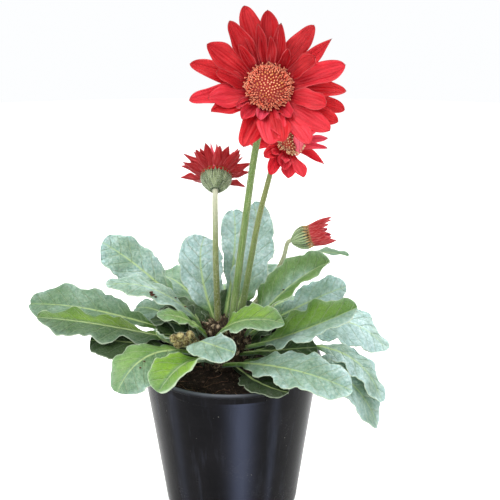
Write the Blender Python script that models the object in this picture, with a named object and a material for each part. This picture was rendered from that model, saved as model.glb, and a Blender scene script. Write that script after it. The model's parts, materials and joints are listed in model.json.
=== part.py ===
"""Potted gerbera: a rosette of waved leaves and four red daisy heads in a black nursery pot.

Metres, +Z up. The origin is the centre of the pot's flat underside, and -Y is the front.
"""

import math
import random
from collections import namedtuple

import bmesh
import bpy
import numpy as np
from mathutils import Matrix, Vector

# Driving dimensions of the pot
POT_HEIGHT = 0.122
RIM_RADIUS = 0.070
BASE_RADIUS = 0.052
WALL = 0.0016
LIP_WIDTH = 0.0022
LIP_DEPTH = 0.0034
POT_SIDES = 40
DRAIN_HOLES = 8
DRAIN_RADIUS = 0.0045
DRAIN_CIRCLE = 0.037
GRIP_HALF_ANGLE = 28
GRIP_HEIGHT = 0.0085
GRIP_PROUD = 0.0009

# Potting mix and the crown that the leaves grow from
FIT_GAP = 0.0003
SOIL_SIDES = 24
SOIL_TOP = 0.1135
SOIL_MOUND = 0.006
SOIL_RELIEF = 0.0016
CROWN_CENTRE = (-0.004, -0.002)
CROWN_FOOT = 0.098
CROWN_TOP = 0.147
CROWN_FOOT_RADIUS = 0.0165
CROWN_WAIST_RADIUS = 0.0190
CROWN_TOP_RADIUS = 0.0140
CROWN_SIDES = 14
CROWN_RELIEF = 0.0007

# Leaves
PETIOLE_HALF_WIDTH = 0.0021
PETIOLE_THICK = 0.0034
BLADE_THICK = 0.0008
RIB_THICK = 0.0022
SOCKET_DEPTH = 0.0045
SOCKET_SIDES = 6
TIP_ROUNDNESS = 0.45
MARGIN_LOBES = 4.5
LOBE_FADE = 1.5
LOBE_SHIFT = 1.4
MARGIN_WAVES = 3.1
LEAF_STATIONS = 9
PETIOLE_STATIONS = 2

# Flower heads
RAY_THICK = 0.0009
PLATE_THICK = 0.0024
SCAPE_SIDES = 6

GREEN_LEAF = (0.16, 0.29, 0.11)
YOUNG_GREEN = (0.27, 0.45, 0.10)
SCAPE_GREEN = (0.33, 0.42, 0.17)
RAY_RED = (0.74, 0.03, 0.04)
DISC_ORANGE = (0.62, 0.22, 0.09)
PLASTIC_BLACK = (0.012, 0.013, 0.016)
MIX_BROWN = (0.045, 0.028, 0.020)
CROWN_BROWN = (0.16, 0.12, 0.06)
WOOLLY_TAN = (0.46, 0.38, 0.18)

# side: degrees round the crown where the stalk starts, 0 at +X and 90 at the back
# up: how far up the crown it starts, 0 at the soil and 1 at the top
# middle, tip: points that the midrib passes; half: the blade's half width
# stalk: share of the length that is bare stalk; belly: share of the blade where it is widest
# fold: both halves up; roll: left half up, seen from the crown; curl: rise of the margins
# wave: height of the margin's waves; lobes: depth of the cut edge; phase: shifts waves and lobes
Leaf = namedtuple("Leaf", "name side up middle tip half stalk belly fold roll curl wave lobes phase")

LEAVES = [
    Leaf("leaf_west_long", 168, 0.34, (-0.094, 0.006, 0.153), (-0.155, 0.010, 0.159),
         0.0195, 0.26, 0.62, 10, -24, 0.02, 0.0022, 0.16, 0.3),
    Leaf("leaf_west_front", 194, 0.42, (-0.087, -0.021, 0.153), (-0.139, -0.030, 0.164),
         0.0165, 0.20, 0.58, -2, -13, -0.05, 0.0026, 0.26, 1.1),
    Leaf("leaf_west_low", 204, 0.10, (-0.066, -0.025, 0.141), (-0.102, -0.028, 0.145),
         0.0205, 0.22, 0.60, 0, -14, 0.0, 0.0015, 0.12, 2.0),
    Leaf("leaf_southwest_hanging", 224, 0.20, (-0.053, -0.048, 0.144), (-0.077, -0.068, 0.124),
         0.019, 0.24, 0.60, -14, -24, -0.05, 0.0020, 0.18, 0.0),
    Leaf("leaf_southwest_bright", 240, 0.14, (-0.030, -0.056, 0.140), (-0.0465, -0.082, 0.131),
         0.0168, 0.20, 0.62, 20, 6, 0.02, 0.0012, 0.06, 2.6),
    Leaf("leaf_south_small", 250, 0.56, (-0.020, -0.0435, 0.151), (0.0045, -0.0555, 0.148),
         0.014, 0.24, 0.60, -4, 12, 0.0, 0.0010, 0.08, 0.7),
    Leaf("leaf_east_short", 240, 0.84, (0.009, -0.032, 0.162), (0.039, -0.036, 0.162),
         0.0150, 0.12, 0.50, 10, 18, 0.02, 0.0014, 0.18, 1.9),
    Leaf("leaf_east_long", 336, 0.46, (0.046, -0.023, 0.148), (0.093, -0.025, 0.170),
         0.020, 0.22, 0.60, 16, 20, 0.02, 0.0022, 0.20, 0.5),
    Leaf("leaf_southeast_front", 268, 0.10, (0.040, -0.054, 0.135), (0.085, -0.068, 0.125),
         0.0180, 0.16, 0.58, 8, 18, -0.04, 0.0020, 0.18, 1.4),
    Leaf("leaf_south_cup", 294, 0.01, (0.021, -0.057, 0.1255), (0.041, -0.074, 0.1265),
         0.0165, 0.24, 0.56, 6, 0, 0.04, 0.0010, 0.06, 0.2),
    Leaf("leaf_east_drooping", 348, 0.20, (0.080, -0.013, 0.130), (0.113, -0.029, 0.096),
         0.0140, 0.36, 0.60, 0, 14, -0.04, 0.0018, 0.10, 1.0),
    Leaf("leaf_east_lowest", 326, 0.06, (0.073, -0.028, 0.123), (0.110, -0.034, 0.079),
         0.0185, 0.36, 0.60, 4, 16, 0.02, 0.0018, 0.10, 2.2),
    Leaf("leaf_east_arch", 8, 0.28, (0.078, 0.016, 0.1435), (0.122, 0.009, 0.121),
         0.023, 0.24, 0.56, -4, 22, -0.04, 0.0024, 0.06, 0.4),
    Leaf("leaf_northeast_raised", 0, 0.74, (0.043, -0.004, 0.177), (0.074, -0.008, 0.199),
         0.020, 0.12, 0.42, 24, 24, 0.02, 0.0016, 0.10, 1.6),
    Leaf("leaf_northeast_mid", 34, 0.50, (0.058, 0.026, 0.153), (0.091, 0.028, 0.167),
         0.0165, 0.26, 0.58, 4, 24, 0.02, 0.0018, 0.14, 2.8),
    Leaf("leaf_northeast_edge", 58, 0.62, (0.050, 0.049, 0.181), (0.095, 0.052, 0.185),
         0.0125, 0.28, 0.58, 2, -24, 0.0, 0.0012, 0.08, 0.9),
    Leaf("leaf_northwest_raised", 140, 0.56, (-0.064, 0.022, 0.178), (-0.100, 0.026, 0.204),
         0.0185, 0.30, 0.56, 2, -34, -0.02, 0.0020, 0.08, 0.6),
    Leaf("leaf_west_flat", 178, 0.78, (-0.052, -0.005, 0.174), (-0.091, -0.014, 0.183),
         0.0150, 0.14, 0.58, -2, -10, 0.0, 0.0014, 0.10, 1.2),
    Leaf("leaf_west_inner", 212, 0.78, (-0.034, -0.018, 0.158), (-0.053, -0.025, 0.163),
         0.0075, 0.20, 0.58, 6, -20, 0.0, 0.0008, 0.10, 0.4),
    Leaf("leaf_north_left", 122, 0.86, (-0.0235, 0.024, 0.182), (-0.021, 0.040, 0.205),
         0.0175, 0.12, 0.54, 6, -4, 0.02, 0.0014, 0.06, 2.4),
    Leaf("leaf_north_centre", 95, 0.88, (0.002, 0.046, 0.190), (0.001, 0.068, 0.219),
         0.0120, 0.16, 0.66, 10, 12, 0.02, 0.0018, 0.08, 0.1),
    Leaf("leaf_north_right", 74, 0.92, (0.0185, 0.037, 0.193), (0.0175, 0.058, 0.228),
         0.0150, 0.14, 0.42, 6, 6, 0.02, 0.0020, 0.12, 1.7),
    Leaf("leaf_northwest_low", 148, 0.16, (-0.054, 0.034, 0.141), (-0.080, 0.050, 0.140),
         0.016, 0.28, 0.58, 4, -12, 0.0, 0.0020, 0.14, 2.1),
    Leaf("leaf_southwest_young", 211, 0.40, (-0.0445, -0.027, 0.145), (-0.052, -0.038, 0.157),
         0.0048, 0.30, 0.56, 12, 0, 0.0, 0.0004, 0.04, 0.0),
    Leaf("leaf_east_shaded", 316, 0.34, (0.040, -0.024, 0.136), (0.064, -0.024, 0.138),
         0.013, 0.20, 0.58, 2, 22, 0.0, 0.0010, 0.10, 1.3),
    Leaf("leaf_north_low", 88, 0.20, (-0.006, 0.056, 0.152), (-0.010, 0.108, 0.138),
         0.021, 0.30, 0.60, 6, 0, -0.02, 0.0024, 0.16, 0.8),
    Leaf("leaf_north_spreading", 70, 0.50, (0.014, 0.060, 0.164), (0.030, 0.104, 0.160),
         0.018, 0.28, 0.60, 8, 6, -0.02, 0.0022, 0.16, 1.1),
    Leaf("leaf_northwest_spreading", 122, 0.32, (-0.040, 0.056, 0.156), (-0.073, 0.088, 0.156),
         0.018, 0.28, 0.60, 6, -8, -0.02, 0.0022, 0.16, 0.2),
    Leaf("leaf_northwest_drooping", 108, 0.10, (-0.030, 0.066, 0.134), (-0.048, 0.102, 0.108),
         0.018, 0.32, 0.60, 4, -8, -0.02, 0.0020, 0.14, 1.9),
    Leaf("leaf_northeast_low", 54, 0.14, (0.040, 0.058, 0.142), (0.072, 0.094, 0.120),
         0.019, 0.30, 0.60, 4, 8, -0.02, 0.0022, 0.14, 2.5),
]

# origin: centre of the plate that carries the rays; facing: the way the head looks
# cup_belly: 0 for a cup that opens like a bell, 1 for one as round as an egg
Head = namedtuple("Head", "origin facing cup_radius cup_height cup_belly plate_radius disc_radius "
                          "disc_height")

HEADS = {
    "main": Head((0.0270, -0.0260, 0.3260), (0.02, -0.90, 0.42), 0.0135, 0.0135, 0.3, 0.0150,
                 0.0155, 0.0075),
    "rear": Head((0.0423, 0.0265, 0.2815), (0.38, -0.71, 0.59), 0.0100, 0.0115, 0.3, 0.0108,
                 0.0105, 0.0060),
    "left": Head((-0.0111, 0.0330, 0.2550), (0.02, 0.77, 0.64), 0.0122, 0.0128, 0.0, 0.0122,
                 0.0100, 0.0050),
    "bud": Head((0.0605, 0.0140, 0.2130), (0.93, -0.14, 0.33), 0.0094, 0.0125, 0.9, 0.0086, 0.0, 0.0),
}

# Bell's radius and egg's radius, as shares of the cup's, at a share of its height
CUP_PROFILE = [
    (0.42, 0.56, 0.11), (0.64, 0.84, 0.34), (0.86, 0.98, 0.62), (0.97, 1.0, 0.86), (0.96, 0.90, 1.0),
]
CUP_TIP = 0.27
BRACT_RIDGE = 0.045

# foot, middle, neck: points that the flower stalk passes; lead: its straight run into the head's cup
Scape = namedtuple("Scape", "foot middle neck lead foot_radius top_radius")

SCAPES = {
    "main": Scape((0.0000, -0.0035, 0.143), (0.0110, -0.0020, 0.228), (0.0190, -0.0030, 0.284),
                  0.013, 0.0028, 0.0022),
    "rear": Scape((0.0060, 0.0010, 0.142), (0.0190, 0.0150, 0.215), (0.0285, 0.0300, 0.251),
                  0.007, 0.0024, 0.0019),
    "left": Scape((-0.0100, 0.0035, 0.142), (-0.0112, 0.0085, 0.190), (-0.0114, 0.0125, 0.223),
                  0.006, 0.0024, 0.0020),
    "bud": Scape((0.0040, 0.0070, 0.141), (0.0300, 0.0185, 0.174), (0.0400, 0.0185, 0.193),
                 0.004, 0.0019, 0.0016),
}

# angle: degrees round the head, 0 to its right and 90 up; reach: length; half: half width
# lift: rise from the head's plane at the root and at the tip; twist: turn about its own line
Ray = namedtuple("Ray", "angle reach half lift_root lift_tip twist")

MAIN_RAYS = [
    Ray(103, 0.045, 0.0064, 24, 16, 0), Ray(91, 0.040, 0.0056, 34, 24, 20),
    Ray(74, 0.033, 0.0050, 38, 30, 0), Ray(56, 0.040, 0.0058, 24, 10, -6),
    Ray(35, 0.042, 0.0042, 16, 6, 44), Ray(12, 0.042, 0.0068, 26, 18, 10),
    Ray(-1, 0.040, 0.0060, 18, 6, -8), Ray(-16, 0.041, 0.0058, 12, -2, 0),
    Ray(-31, 0.041, 0.0058, 18, 10, 10), Ray(-44, 0.042, 0.0066, 26, 18, 0),
    Ray(-59, 0.041, 0.0058, 26, 22, 0), Ray(-75, 0.039, 0.0056, 36, 36, 0),
    Ray(-90, 0.039, 0.0070, 36, 32, 0), Ray(-110, 0.038, 0.0068, 26, 20, 0),
    Ray(-150, 0.033, 0.0060, 26, 18, 24), Ray(199, 0.032, 0.0062, 30, 18, 0),
    Ray(187, 0.042, 0.0056, 14, 2, 0), Ray(162, 0.043, 0.0056, 14, 6, 0),
    Ray(148, 0.039, 0.0064, 26, 20, 0), Ray(121, 0.040, 0.0046, 22, 14, -36),
]
MAIN_INNER_RAYS = [
    Ray(100, 0.031, 0.0044, 30, 60, 0), Ray(172, 0.024, 0.0052, 24, 50, 16),
    Ray(216, 0.018, 0.0040, 28, 76, 40), Ray(-103, 0.015, 0.0040, 28, 60, 0),
    Ray(-56, 0.017, 0.0050, 28, 60, 0), Ray(-20, 0.030, 0.0062, 28, 34, 0),
    Ray(30, 0.024, 0.0054, 28, 44, -20), Ray(58, 0.019, 0.0046, 28, 70, 30),
    Ray(128, 0.022, 0.0038, 28, 60, 0), Ray(-78, 0.030, 0.0052, 30, 44, 0),
]

# Rays in two layers by turns: places round the head and lengths, one by one
REAR_PLACES = [
    (-156, 0.0205), (-138, 0.0262), (-122, 0.0190), (-107, 0.0225), (-90, 0.0240), (-40, 0.0240),
    (-21, 0.0235), (-3, 0.0270), (18, 0.0255), (40, 0.0245), (62, 0.0250), (84, 0.0240),
    (106, 0.0250), (128, 0.0245), (150, 0.0240), (176, 0.0235),
]
LEFT_PLACES = [
    (2, 0.0215), (17, 0.0185), (32, 0.0215), (55, 0.0190), (72, 0.0205), (95, 0.0195),
    (113, 0.0190), (127, 0.0205), (143, 0.0175), (162, 0.0205), (194, 0.0190), (228, 0.0245),
    (256, 0.0220), (284, 0.0205), (312, 0.0215), (338, 0.0240),
]
BUD_PLACES = [
    (10, 0.0125), (52, 0.0175), (86, 0.0190), (118, 0.0180), (150, 0.0125), (182, 0.0105),
    (214, 0.0140), (246, 0.0165), (282, 0.0170), (326, 0.0140),
]
REAR_RAYS = [Ray(angle, reach, 0.0044, 22 - 10 * (k % 2), 8 - 9 * (k % 2), 0)
             for k, (angle, reach) in enumerate(REAR_PLACES)]
LEFT_RAYS = [Ray(angle, reach, 0.0035, 32 - 10 * (k % 2), 29 - 10 * (k % 2), 0)
             for k, (angle, reach) in enumerate(LEFT_PLACES)]
BUD_RAYS = [Ray(angle, reach, 0.0034, 82, 90, 0) for angle, reach in BUD_PLACES]

# Rays that stand round the head at even angles, all of them changed a little by a seeded draw
Whorl = namedtuple("Whorl", "count reach half lift_root lift_tip spread start")

REAR_INNER_WHORL = Whorl(8, 0.0140, 0.0030, 48, 44, 5.0, 28.0)
LEFT_INNER_WHORL = Whorl(8, 0.0145, 0.0030, 56, 50, 5.0, 14.0)

# Woolly young buds low on the left of the crown: place and radius of each
YOUNG_BUDS = [
    ((-0.0400, -0.0345, 0.1495), 0.0032), ((-0.0355, -0.0345, 0.1510), 0.0032),
    ((-0.0375, -0.0345, 0.1455), 0.0032), ((-0.0320, -0.0325, 0.1470), 0.0036),
    ((-0.0290, -0.0290, 0.1500), 0.0032),
]
YOUNG_BUD_FOOT_SIDE = 228
YOUNG_BUD_FOOT_UP = 0.50
YOUNG_BUD_STEM_RADIUS = 0.0019
YOUNG_BUD_STALK_RADIUS = 0.0014


def material(name, colour, roughness, metallic=0.0):
    """A Principled BSDF material of one colour."""
    made = bpy.data.materials.new(name)
    made.use_nodes = True
    shader = made.node_tree.nodes["Principled BSDF"]
    shader.inputs["Base Color"].default_value = (*colour, 1.0)
    shader.inputs["Roughness"].default_value = roughness
    shader.inputs["Metallic"].default_value = metallic
    return made


def object_of(name, points, faces, surface=None):
    """A mesh object from points and faces, its doubled points merged and its faces pointing out."""
    mesh = bpy.data.meshes.new(name)
    shape = bmesh.new()
    placed = [shape.verts.new(Vector([float(c) for c in p])) for p in points]
    for face in faces:
        shape.faces.new([placed[i] for i in face])
    bmesh.ops.remove_doubles(shape, verts=shape.verts, dist=1e-7)
    bmesh.ops.recalc_face_normals(shape, faces=shape.faces)
    shape.to_mesh(mesh)
    shape.free()
    made = bpy.data.objects.new(name, mesh)
    bpy.context.scene.collection.objects.link(made)
    if surface is not None:
        mesh.materials.append(surface)
    return made


def evaluated_mesh(target):
    """The mesh of an object with its modifiers applied."""
    bpy.context.view_layer.update()
    graph = bpy.context.evaluated_depsgraph_get()
    return bpy.data.meshes.new_from_object(target.evaluated_get(graph))


def combine(target, others, operation, solver="EXACT"):
    """Joins others to target, or cuts them from it, with one applied Boolean, and removes them."""
    group = bpy.data.collections.new(target.name + "_group")
    bpy.context.scene.collection.children.link(group)
    for other in others:
        bpy.context.scene.collection.objects.unlink(other)
        group.objects.link(other)
    step = target.modifiers.new(operation.lower(), "BOOLEAN")
    step.operand_type = "COLLECTION"
    step.collection = group
    step.operation = operation
    step.solver = solver
    target.data = evaluated_mesh(target)
    target.modifiers.clear()
    for other in others:
        bpy.data.objects.remove(other)
    bpy.data.collections.remove(group)
    return target


def keep_largest(target):
    """Drops the loose scraps that a Boolean leaves beside the one body."""
    shape = bmesh.new()
    shape.from_mesh(target.data)
    left = set(shape.verts)
    islands = []
    while left:
        start = left.pop()
        island, edge_of_search = {start}, [start]
        while edge_of_search:
            here = edge_of_search.pop()
            for edge in here.link_edges:
                there = edge.other_vert(here)
                if there in left:
                    left.discard(there)
                    island.add(there)
                    edge_of_search.append(there)
        islands.append(island)
    islands.sort(key=len, reverse=True)
    scraps = [vertex for island in islands[1:] for vertex in island]
    bmesh.ops.delete(shape, geom=scraps, context="VERTS")
    shape.to_mesh(target.data)
    shape.free()
    return target


def shade_round(target, sharp_angle=40):
    target.data.shade_smooth()
    target.data.set_sharp_from_angle(angle=math.radians(sharp_angle))
    return target


def unit(vector):
    return np.asarray(vector, float) / np.linalg.norm(vector)


def turned(vector, axis, angle):
    """vector turned about the unit axis by angle, in radians."""
    return (vector * math.cos(angle) + np.cross(axis, vector) * math.sin(angle)
            + axis * (axis @ vector) * (1 - math.cos(angle)))


def smooth(value):
    """0 below 0, 1 above 1, and an even curve between."""
    value = min(1.0, max(0.0, value))
    return value * value * (3 - 2 * value)


def grid_faces(rings, sides, closed):
    """Quads between rings of points that are numbered ring by ring."""
    faces = []
    for ring in range(rings - 1):
        for side in range(sides if closed else sides - 1):
            after = (side + 1) % sides
            faces.append((ring * sides + side, ring * sides + after,
                          (ring + 1) * sides + after, (ring + 1) * sides + side))
    return faces


def turned_solid(name, profile, sides, surface, shift=None):
    """Turns a profile of (radius, height) about Z; shift(point, ring, side) may move each point."""
    points = []
    for ring, (radius, height) in enumerate(profile):
        for side in range(sides):
            angle = 2 * math.pi * side / sides
            point = np.array([radius * math.cos(angle), radius * math.sin(angle), height])
            points.append(shift(point, ring, side) if shift else point)
    faces = grid_faces(len(profile), sides, True)
    faces.append(tuple(range(sides)))
    faces.append(tuple(range((len(profile) - 1) * sides, len(profile) * sides)))
    return object_of(name, points, faces, surface)


# The crown: a short woody stock
def crown_radius(height):
    """Radius of the crown's smooth form at a height."""
    soil_share = smooth((height - CROWN_FOOT) / (SOIL_TOP - CROWN_FOOT))
    top_share = smooth((height - SOIL_TOP) / (CROWN_TOP - SOIL_TOP))
    low = CROWN_FOOT_RADIUS + (CROWN_WAIST_RADIUS - CROWN_FOOT_RADIUS) * soil_share
    return low + (CROWN_TOP_RADIUS - CROWN_WAIST_RADIUS) * top_share


def crown_point(side_degrees, up):
    """A point on the crown's side: up is 0 at the soil and 1 at the top's edge."""
    height = SOIL_TOP + 0.006 + (CROWN_TOP - SOIL_TOP - 0.008) * up
    angle = math.radians(side_degrees)
    radius = crown_radius(height)
    return np.array([CROWN_CENTRE[0] + radius * math.cos(angle),
                     CROWN_CENTRE[1] + radius * math.sin(angle), height])


def build_crown(surface):
    heights = [CROWN_FOOT, 0.104, 0.112, 0.119, 0.126, 0.133, 0.140, 0.146, CROWN_TOP, CROWN_TOP + 0.0022]
    profile = [(crown_radius(height), height) for height in heights[:-1]]
    profile.append((CROWN_TOP_RADIUS * 0.55, heights[-1]))

    def bark(point, ring, side):
        outward = np.array([point[0], point[1], 0.0])
        ridge = CROWN_RELIEF * (1 if (ring + side) % 2 else -1)
        return point + unit(outward) * ridge + np.array([*CROWN_CENTRE, 0.0])

    return turned_solid("crown", profile, CROWN_SIDES, surface, bark)


# Leaves: stalk and blade in one solid
def leaf_width(leaf, share):
    """Half width of the blade at a share of its length, as a share of its widest."""
    base = TIP_ROUNDNESS * leaf.belly / (1 - leaf.belly)
    widest = leaf.belly ** base * (1 - leaf.belly) ** TIP_ROUNDNESS
    return share ** base * max(0.0, 1 - share) ** TIP_ROUNDNESS / widest


def leaf_edge(leaf, share, side):
    """Cut edge of one half: shallow lobes, deeper near the stalk."""
    depth = leaf.lobes * LOBE_FADE * max(0.0, 1 - share) ** LOBE_FADE * smooth(share / 0.10)
    shift = leaf.phase + (LOBE_SHIFT if side > 0 else 0.0)
    return 1 + depth * math.sin(2 * math.pi * MARGIN_LOBES * share + shift)


def spine_point(leaf, share):
    """The midrib: one even curve from the crown through the leaf's middle point to its tip."""
    foot = crown_point(leaf.side, leaf.up)
    middle, tip = np.array(leaf.middle), np.array(leaf.tip)
    pull = 2 * middle - 0.5 * (foot + tip)
    return (1 - share) ** 2 * foot + 2 * share * (1 - share) * pull + share ** 2 * tip


def spine_direction(leaf, share):
    step = 1e-3
    return unit(spine_point(leaf, min(1, share + step)) - spine_point(leaf, max(0, share - step)))


def leaf_section(leaf, share, across):
    """Points of one cross section, above and below, from the right edge to the left."""
    direction = spine_direction(leaf, max(0.0, share))
    place = spine_point(leaf, max(0.0, share))
    if share < 0:
        place = place + direction * share * SOCKET_DEPTH
    foot, tip = crown_point(leaf.side, leaf.up), np.array(leaf.tip)
    heading = np.array([tip[0] - foot[0], tip[1] - foot[1], 0.0])
    level = np.cross([0, 0, 1.0], unit(heading))
    left = unit(level - direction * (level @ direction))
    blade = (share - leaf.stalk) / (1 - leaf.stalk)
    opened = smooth(blade / 0.16)
    roll = math.radians(leaf.roll) * smooth(share / 0.5)
    left = turned(left, direction, roll)
    normal = np.cross(direction, left)
    above, below = [], []
    for v in across:
        fold = math.radians(leaf.fold) * opened
        if blade > 0:
            reach = max(PETIOLE_HALF_WIDTH * (1 - blade), leaf.half * leaf_width(leaf, blade))
            reach *= 1 + (leaf_edge(leaf, blade, v) - 1) * abs(v)
        else:
            reach = PETIOLE_HALF_WIDTH
        turns = leaf.phase * (2 if v > 0 else 1)
        waved = leaf.wave * opened * v * v * math.sin(2 * math.pi * MARGIN_WAVES * blade + turns)
        rise = reach * abs(v) * math.sin(fold) + leaf.curl * reach * v * v + waved
        at = place + left * reach * v * math.cos(fold) + normal * rise
        stalk_thick = PETIOLE_THICK * math.sqrt(max(0.0, 1 - v * v))
        rib = RIB_THICK * (1 - 0.75 * max(0.0, blade)) if v == 0 else 0.0
        blade_thick = max(BLADE_THICK, rib) if abs(v) < 1 else 0.0
        thick = stalk_thick + (blade_thick - stalk_thick) * opened
        over = 0.5 * thick + (BLADE_THICK * 0.5 - 0.5 * thick) * opened if thick > 0 else 0.0
        above.append(at + normal * over)
        below.append(at + normal * (over - thick))
    return above, below


def leaf_solid(leaf, surface, shares, across):
    """Closed solid of a leaf: the same triangles above and below, which meet in the margins."""
    points, faces = [], []
    wide = len(across)
    sections = [leaf_section(leaf, share, across) for share in shares]
    for above, below in sections:
        points.extend(above)
        points.extend(below)
    ring = 2 * wide
    for step in range(len(shares) - 1):
        for k in range(wide - 1):
            for layer in (0, wide):
                a, b = step * ring + layer + k, step * ring + layer + k + 1
                c, d = b + ring, a + ring
                faces.extend([(a, b, c), (a, c, d)] if k < wide // 2 else [(a, b, d), (b, c, d)])
    for end in (0, (len(shares) - 1) * ring):
        for k in range(wide - 1):
            a, b = end + k, end + k + 1
            c, d = b + wide, a + wide
            faces.append(tuple(dict.fromkeys((a, b, c, d))))
    clean = []
    merged = {}
    index = []
    for i, point in enumerate(points):
        key = tuple(np.round(point, 8))
        index.append(merged.setdefault(key, i))
    for face in faces:
        mapped = tuple(dict.fromkeys(index[i] for i in face))
        if len(mapped) > 2:
            clean.append(mapped)
    return object_of(leaf.name, points, clean, surface)


def leaf_shares(leaf):
    """Places of the cross sections along a leaf, from the end in its socket to the tip."""
    stalk = [leaf.stalk * k / PETIOLE_STATIONS for k in range(PETIOLE_STATIONS)]
    blade = []
    for k in range(LEAF_STATIONS + 1):
        even = k / LEAF_STATIONS
        rounded = even + 0.10 * math.sin(math.pi * even) * even
        blade.append(leaf.stalk + (1 - leaf.stalk) * min(rounded, 0.992))
    return [-1.0] + stalk + blade


LEAF_ACROSS = (-1, -0.55, 0, 0.55, 1)


def build_leaves(surface, young_surface):
    bright = {"leaf_southwest_bright", "leaf_east_short", "leaf_southwest_young"}
    for leaf in LEAVES:
        own_surface = young_surface if leaf.name in bright else surface
        shade_round(leaf_solid(leaf, own_surface, leaf_shares(leaf), LEAF_ACROSS), 60)


def leaf_sockets():
    """Cutters for the round holes in the crown that the leaf stalks stand in."""
    cutters = []
    for leaf in LEAVES:
        foot, direction = crown_point(leaf.side, leaf.up), spine_direction(leaf, 0.0)
        route = [foot - direction * (SOCKET_DEPTH + FIT_GAP), foot + direction * SOCKET_DEPTH * 2]
        radius = (PETIOLE_HALF_WIDTH + FIT_GAP) / math.cos(math.pi / SOCKET_SIDES)
        cutters.append(tube_solid("socket_" + leaf.name, route, [radius] * 2, SOCKET_SIDES))
    return cutters


# Flower heads: each has its own frame, with the third axis along its facing
def head_frame(head):
    """Right, up and facing axes of a head; right is level."""
    facing = unit(head.facing)
    right = np.cross([0, 0, 1.0], facing) if abs(facing[2]) < 0.8 else np.array([1.0, 0.0, 0.0])
    right = unit(right - facing * (right @ facing))
    return right, np.cross(facing, right), facing


def in_head(head, local):
    right, up, facing = head_frame(head)
    return np.array(head.origin) + right * local[0] + up * local[1] + facing * local[2]


def ray_width(share):
    """Half width of a ray floret: a narrow claw, widest past the middle, with a blunt tip."""
    claw = 0.26 + 0.74 * smooth(share / 0.62)
    tip = math.sqrt(max(0.0, 1 - ((share - 0.6) / 0.4) ** 2)) if share > 0.6 else 1.0
    return claw * tip


def ray_solid(name, head, ray, root_radius, root_height, shares):
    """One ray floret: a closed blade with a raised midline, its claw sunk into the plate."""
    angle = math.radians(ray.angle)
    radial = np.array([math.cos(angle), math.sin(angle), 0.0])
    sideways = np.array([-math.sin(angle), math.cos(angle), 0.0])
    axis = np.array([0.0, 0.0, 1.0])
    place = radial * root_radius + axis * root_height
    points, last = [], 0.0
    for share in shares:
        lift = math.radians(ray.lift_root + (ray.lift_tip - ray.lift_root) * share)
        along = radial * math.cos(lift) + axis * math.sin(lift)
        place = place + along * ray.reach * (share - last)
        last = share
        twist = math.radians(ray.twist) * smooth(share / 0.7)
        side = turned(sideways, along, twist)
        over = np.cross(along, side)
        reach = ray.half * ray_width(share)
        channel = 0.22 * reach
        if share >= 1:
            points.append(in_head(head, place))
            continue
        points.append(in_head(head, place - side * reach + over * channel))
        points.append(in_head(head, place + over * (RAY_THICK * 0.4)))
        points.append(in_head(head, place + side * reach + over * channel))
        points.append(in_head(head, place - over * (RAY_THICK * 0.6)))
    full = len(shares) - 1
    faces = grid_faces(full, 4, True)
    faces.append((0, 1, 2, 3))
    first, tip = (full - 1) * 4, full * 4
    faces.extend((first + k, first + (k + 1) % 4, tip) for k in range(4))
    split = []
    for face in faces:
        if len(face) == 4 and face != (0, 1, 2, 3):
            a, b, c, d = face
            split.extend([(a, b, c), (a, c, d)] if (a % 4) in (0, 2) else [(a, b, d), (b, c, d)])
        else:
            split.append(face)
    return object_of(name, points, split)


def plate_solid(name, head, surface, sides=16):
    """The low round plate that the ray florets stand on."""
    radius, half = head.plate_radius, PLATE_THICK / 2
    profile = [(radius * 0.92, -half), (radius, 0.0), (radius * 0.92, half)]
    plate = turned_solid(name, profile, sides, surface)
    for vertex in plate.data.vertices:
        vertex.co = Vector(in_head(head, vertex.co))
    return plate


OUTER_SHARES = (0.0, 0.26, 0.50, 0.72, 0.90, 1.0)
SHORT_SHARES = (0.0, 0.34, 0.66, 0.90, 1.0)


def whorl_rays(whorl, seed):
    """The rays of one whorl, evenly spaced round the head with small seeded differences."""
    draw = random.Random(seed)
    rays = []
    for k in range(whorl.count):
        rays.append(Ray(
            whorl.start + 360 * k / whorl.count + draw.uniform(-whorl.spread, whorl.spread),
            whorl.reach * draw.uniform(0.88, 1.06), whorl.half * draw.uniform(0.86, 1.08),
            whorl.lift_root + draw.uniform(-6, 6), whorl.lift_tip + draw.uniform(-9, 9),
            draw.uniform(-14, 14)))
    return rays


def build_rays(name, groups, surface):
    head = HEADS[name]
    plate = plate_solid("rays_" + name, head, surface)
    rays = []
    for tier, group in enumerate(groups):
        root = head.plate_radius * (0.78 if tier == 0 else 0.90)
        height = PLATE_THICK * (0.0 if tier == 0 else 0.25)
        shares = OUTER_SHARES if name == "main" and tier == 0 else SHORT_SHARES
        for k, ray in enumerate(group):
            rays.append(ray_solid(f"ray_{name}_{tier}_{k}", head, ray, root, height, shares))
    return shade_round(keep_largest(combine(plate, rays, "UNION")))


def build_disc(name, surface, rings=6, sides=22):
    """The disc florets: a low dome with raised knobs all over, which overhangs its narrower foot."""
    head = HEADS[name]
    foot = PLATE_THICK / 2 + FIT_GAP
    rim_height = foot + 0.45 * head.disc_height
    knob = head.disc_radius * 0.055
    profile = []
    for ring in range(1, rings + 1):
        bend = 0.5 * math.pi * ring / rings
        profile.append((head.disc_radius * math.sin(bend),
                        rim_height + 0.55 * head.disc_height * math.cos(bend) ** 0.8))
    foot_radius = min(head.plate_radius, head.disc_radius) * 0.72
    profile += [(foot_radius, foot + 0.25 * head.disc_height), (foot_radius, foot)]

    def floret(point, ring, side):
        if ring >= rings:
            return point
        out = unit([point[0], point[1], head.disc_radius * 0.8])
        return point + out * knob * (1 if (ring + side) % 2 else -1)

    dome = turned_solid("disc_" + name, profile, sides, surface, floret)
    for vertex in dome.data.vertices:
        vertex.co = Vector(in_head(head, vertex.co))
    return dome


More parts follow.
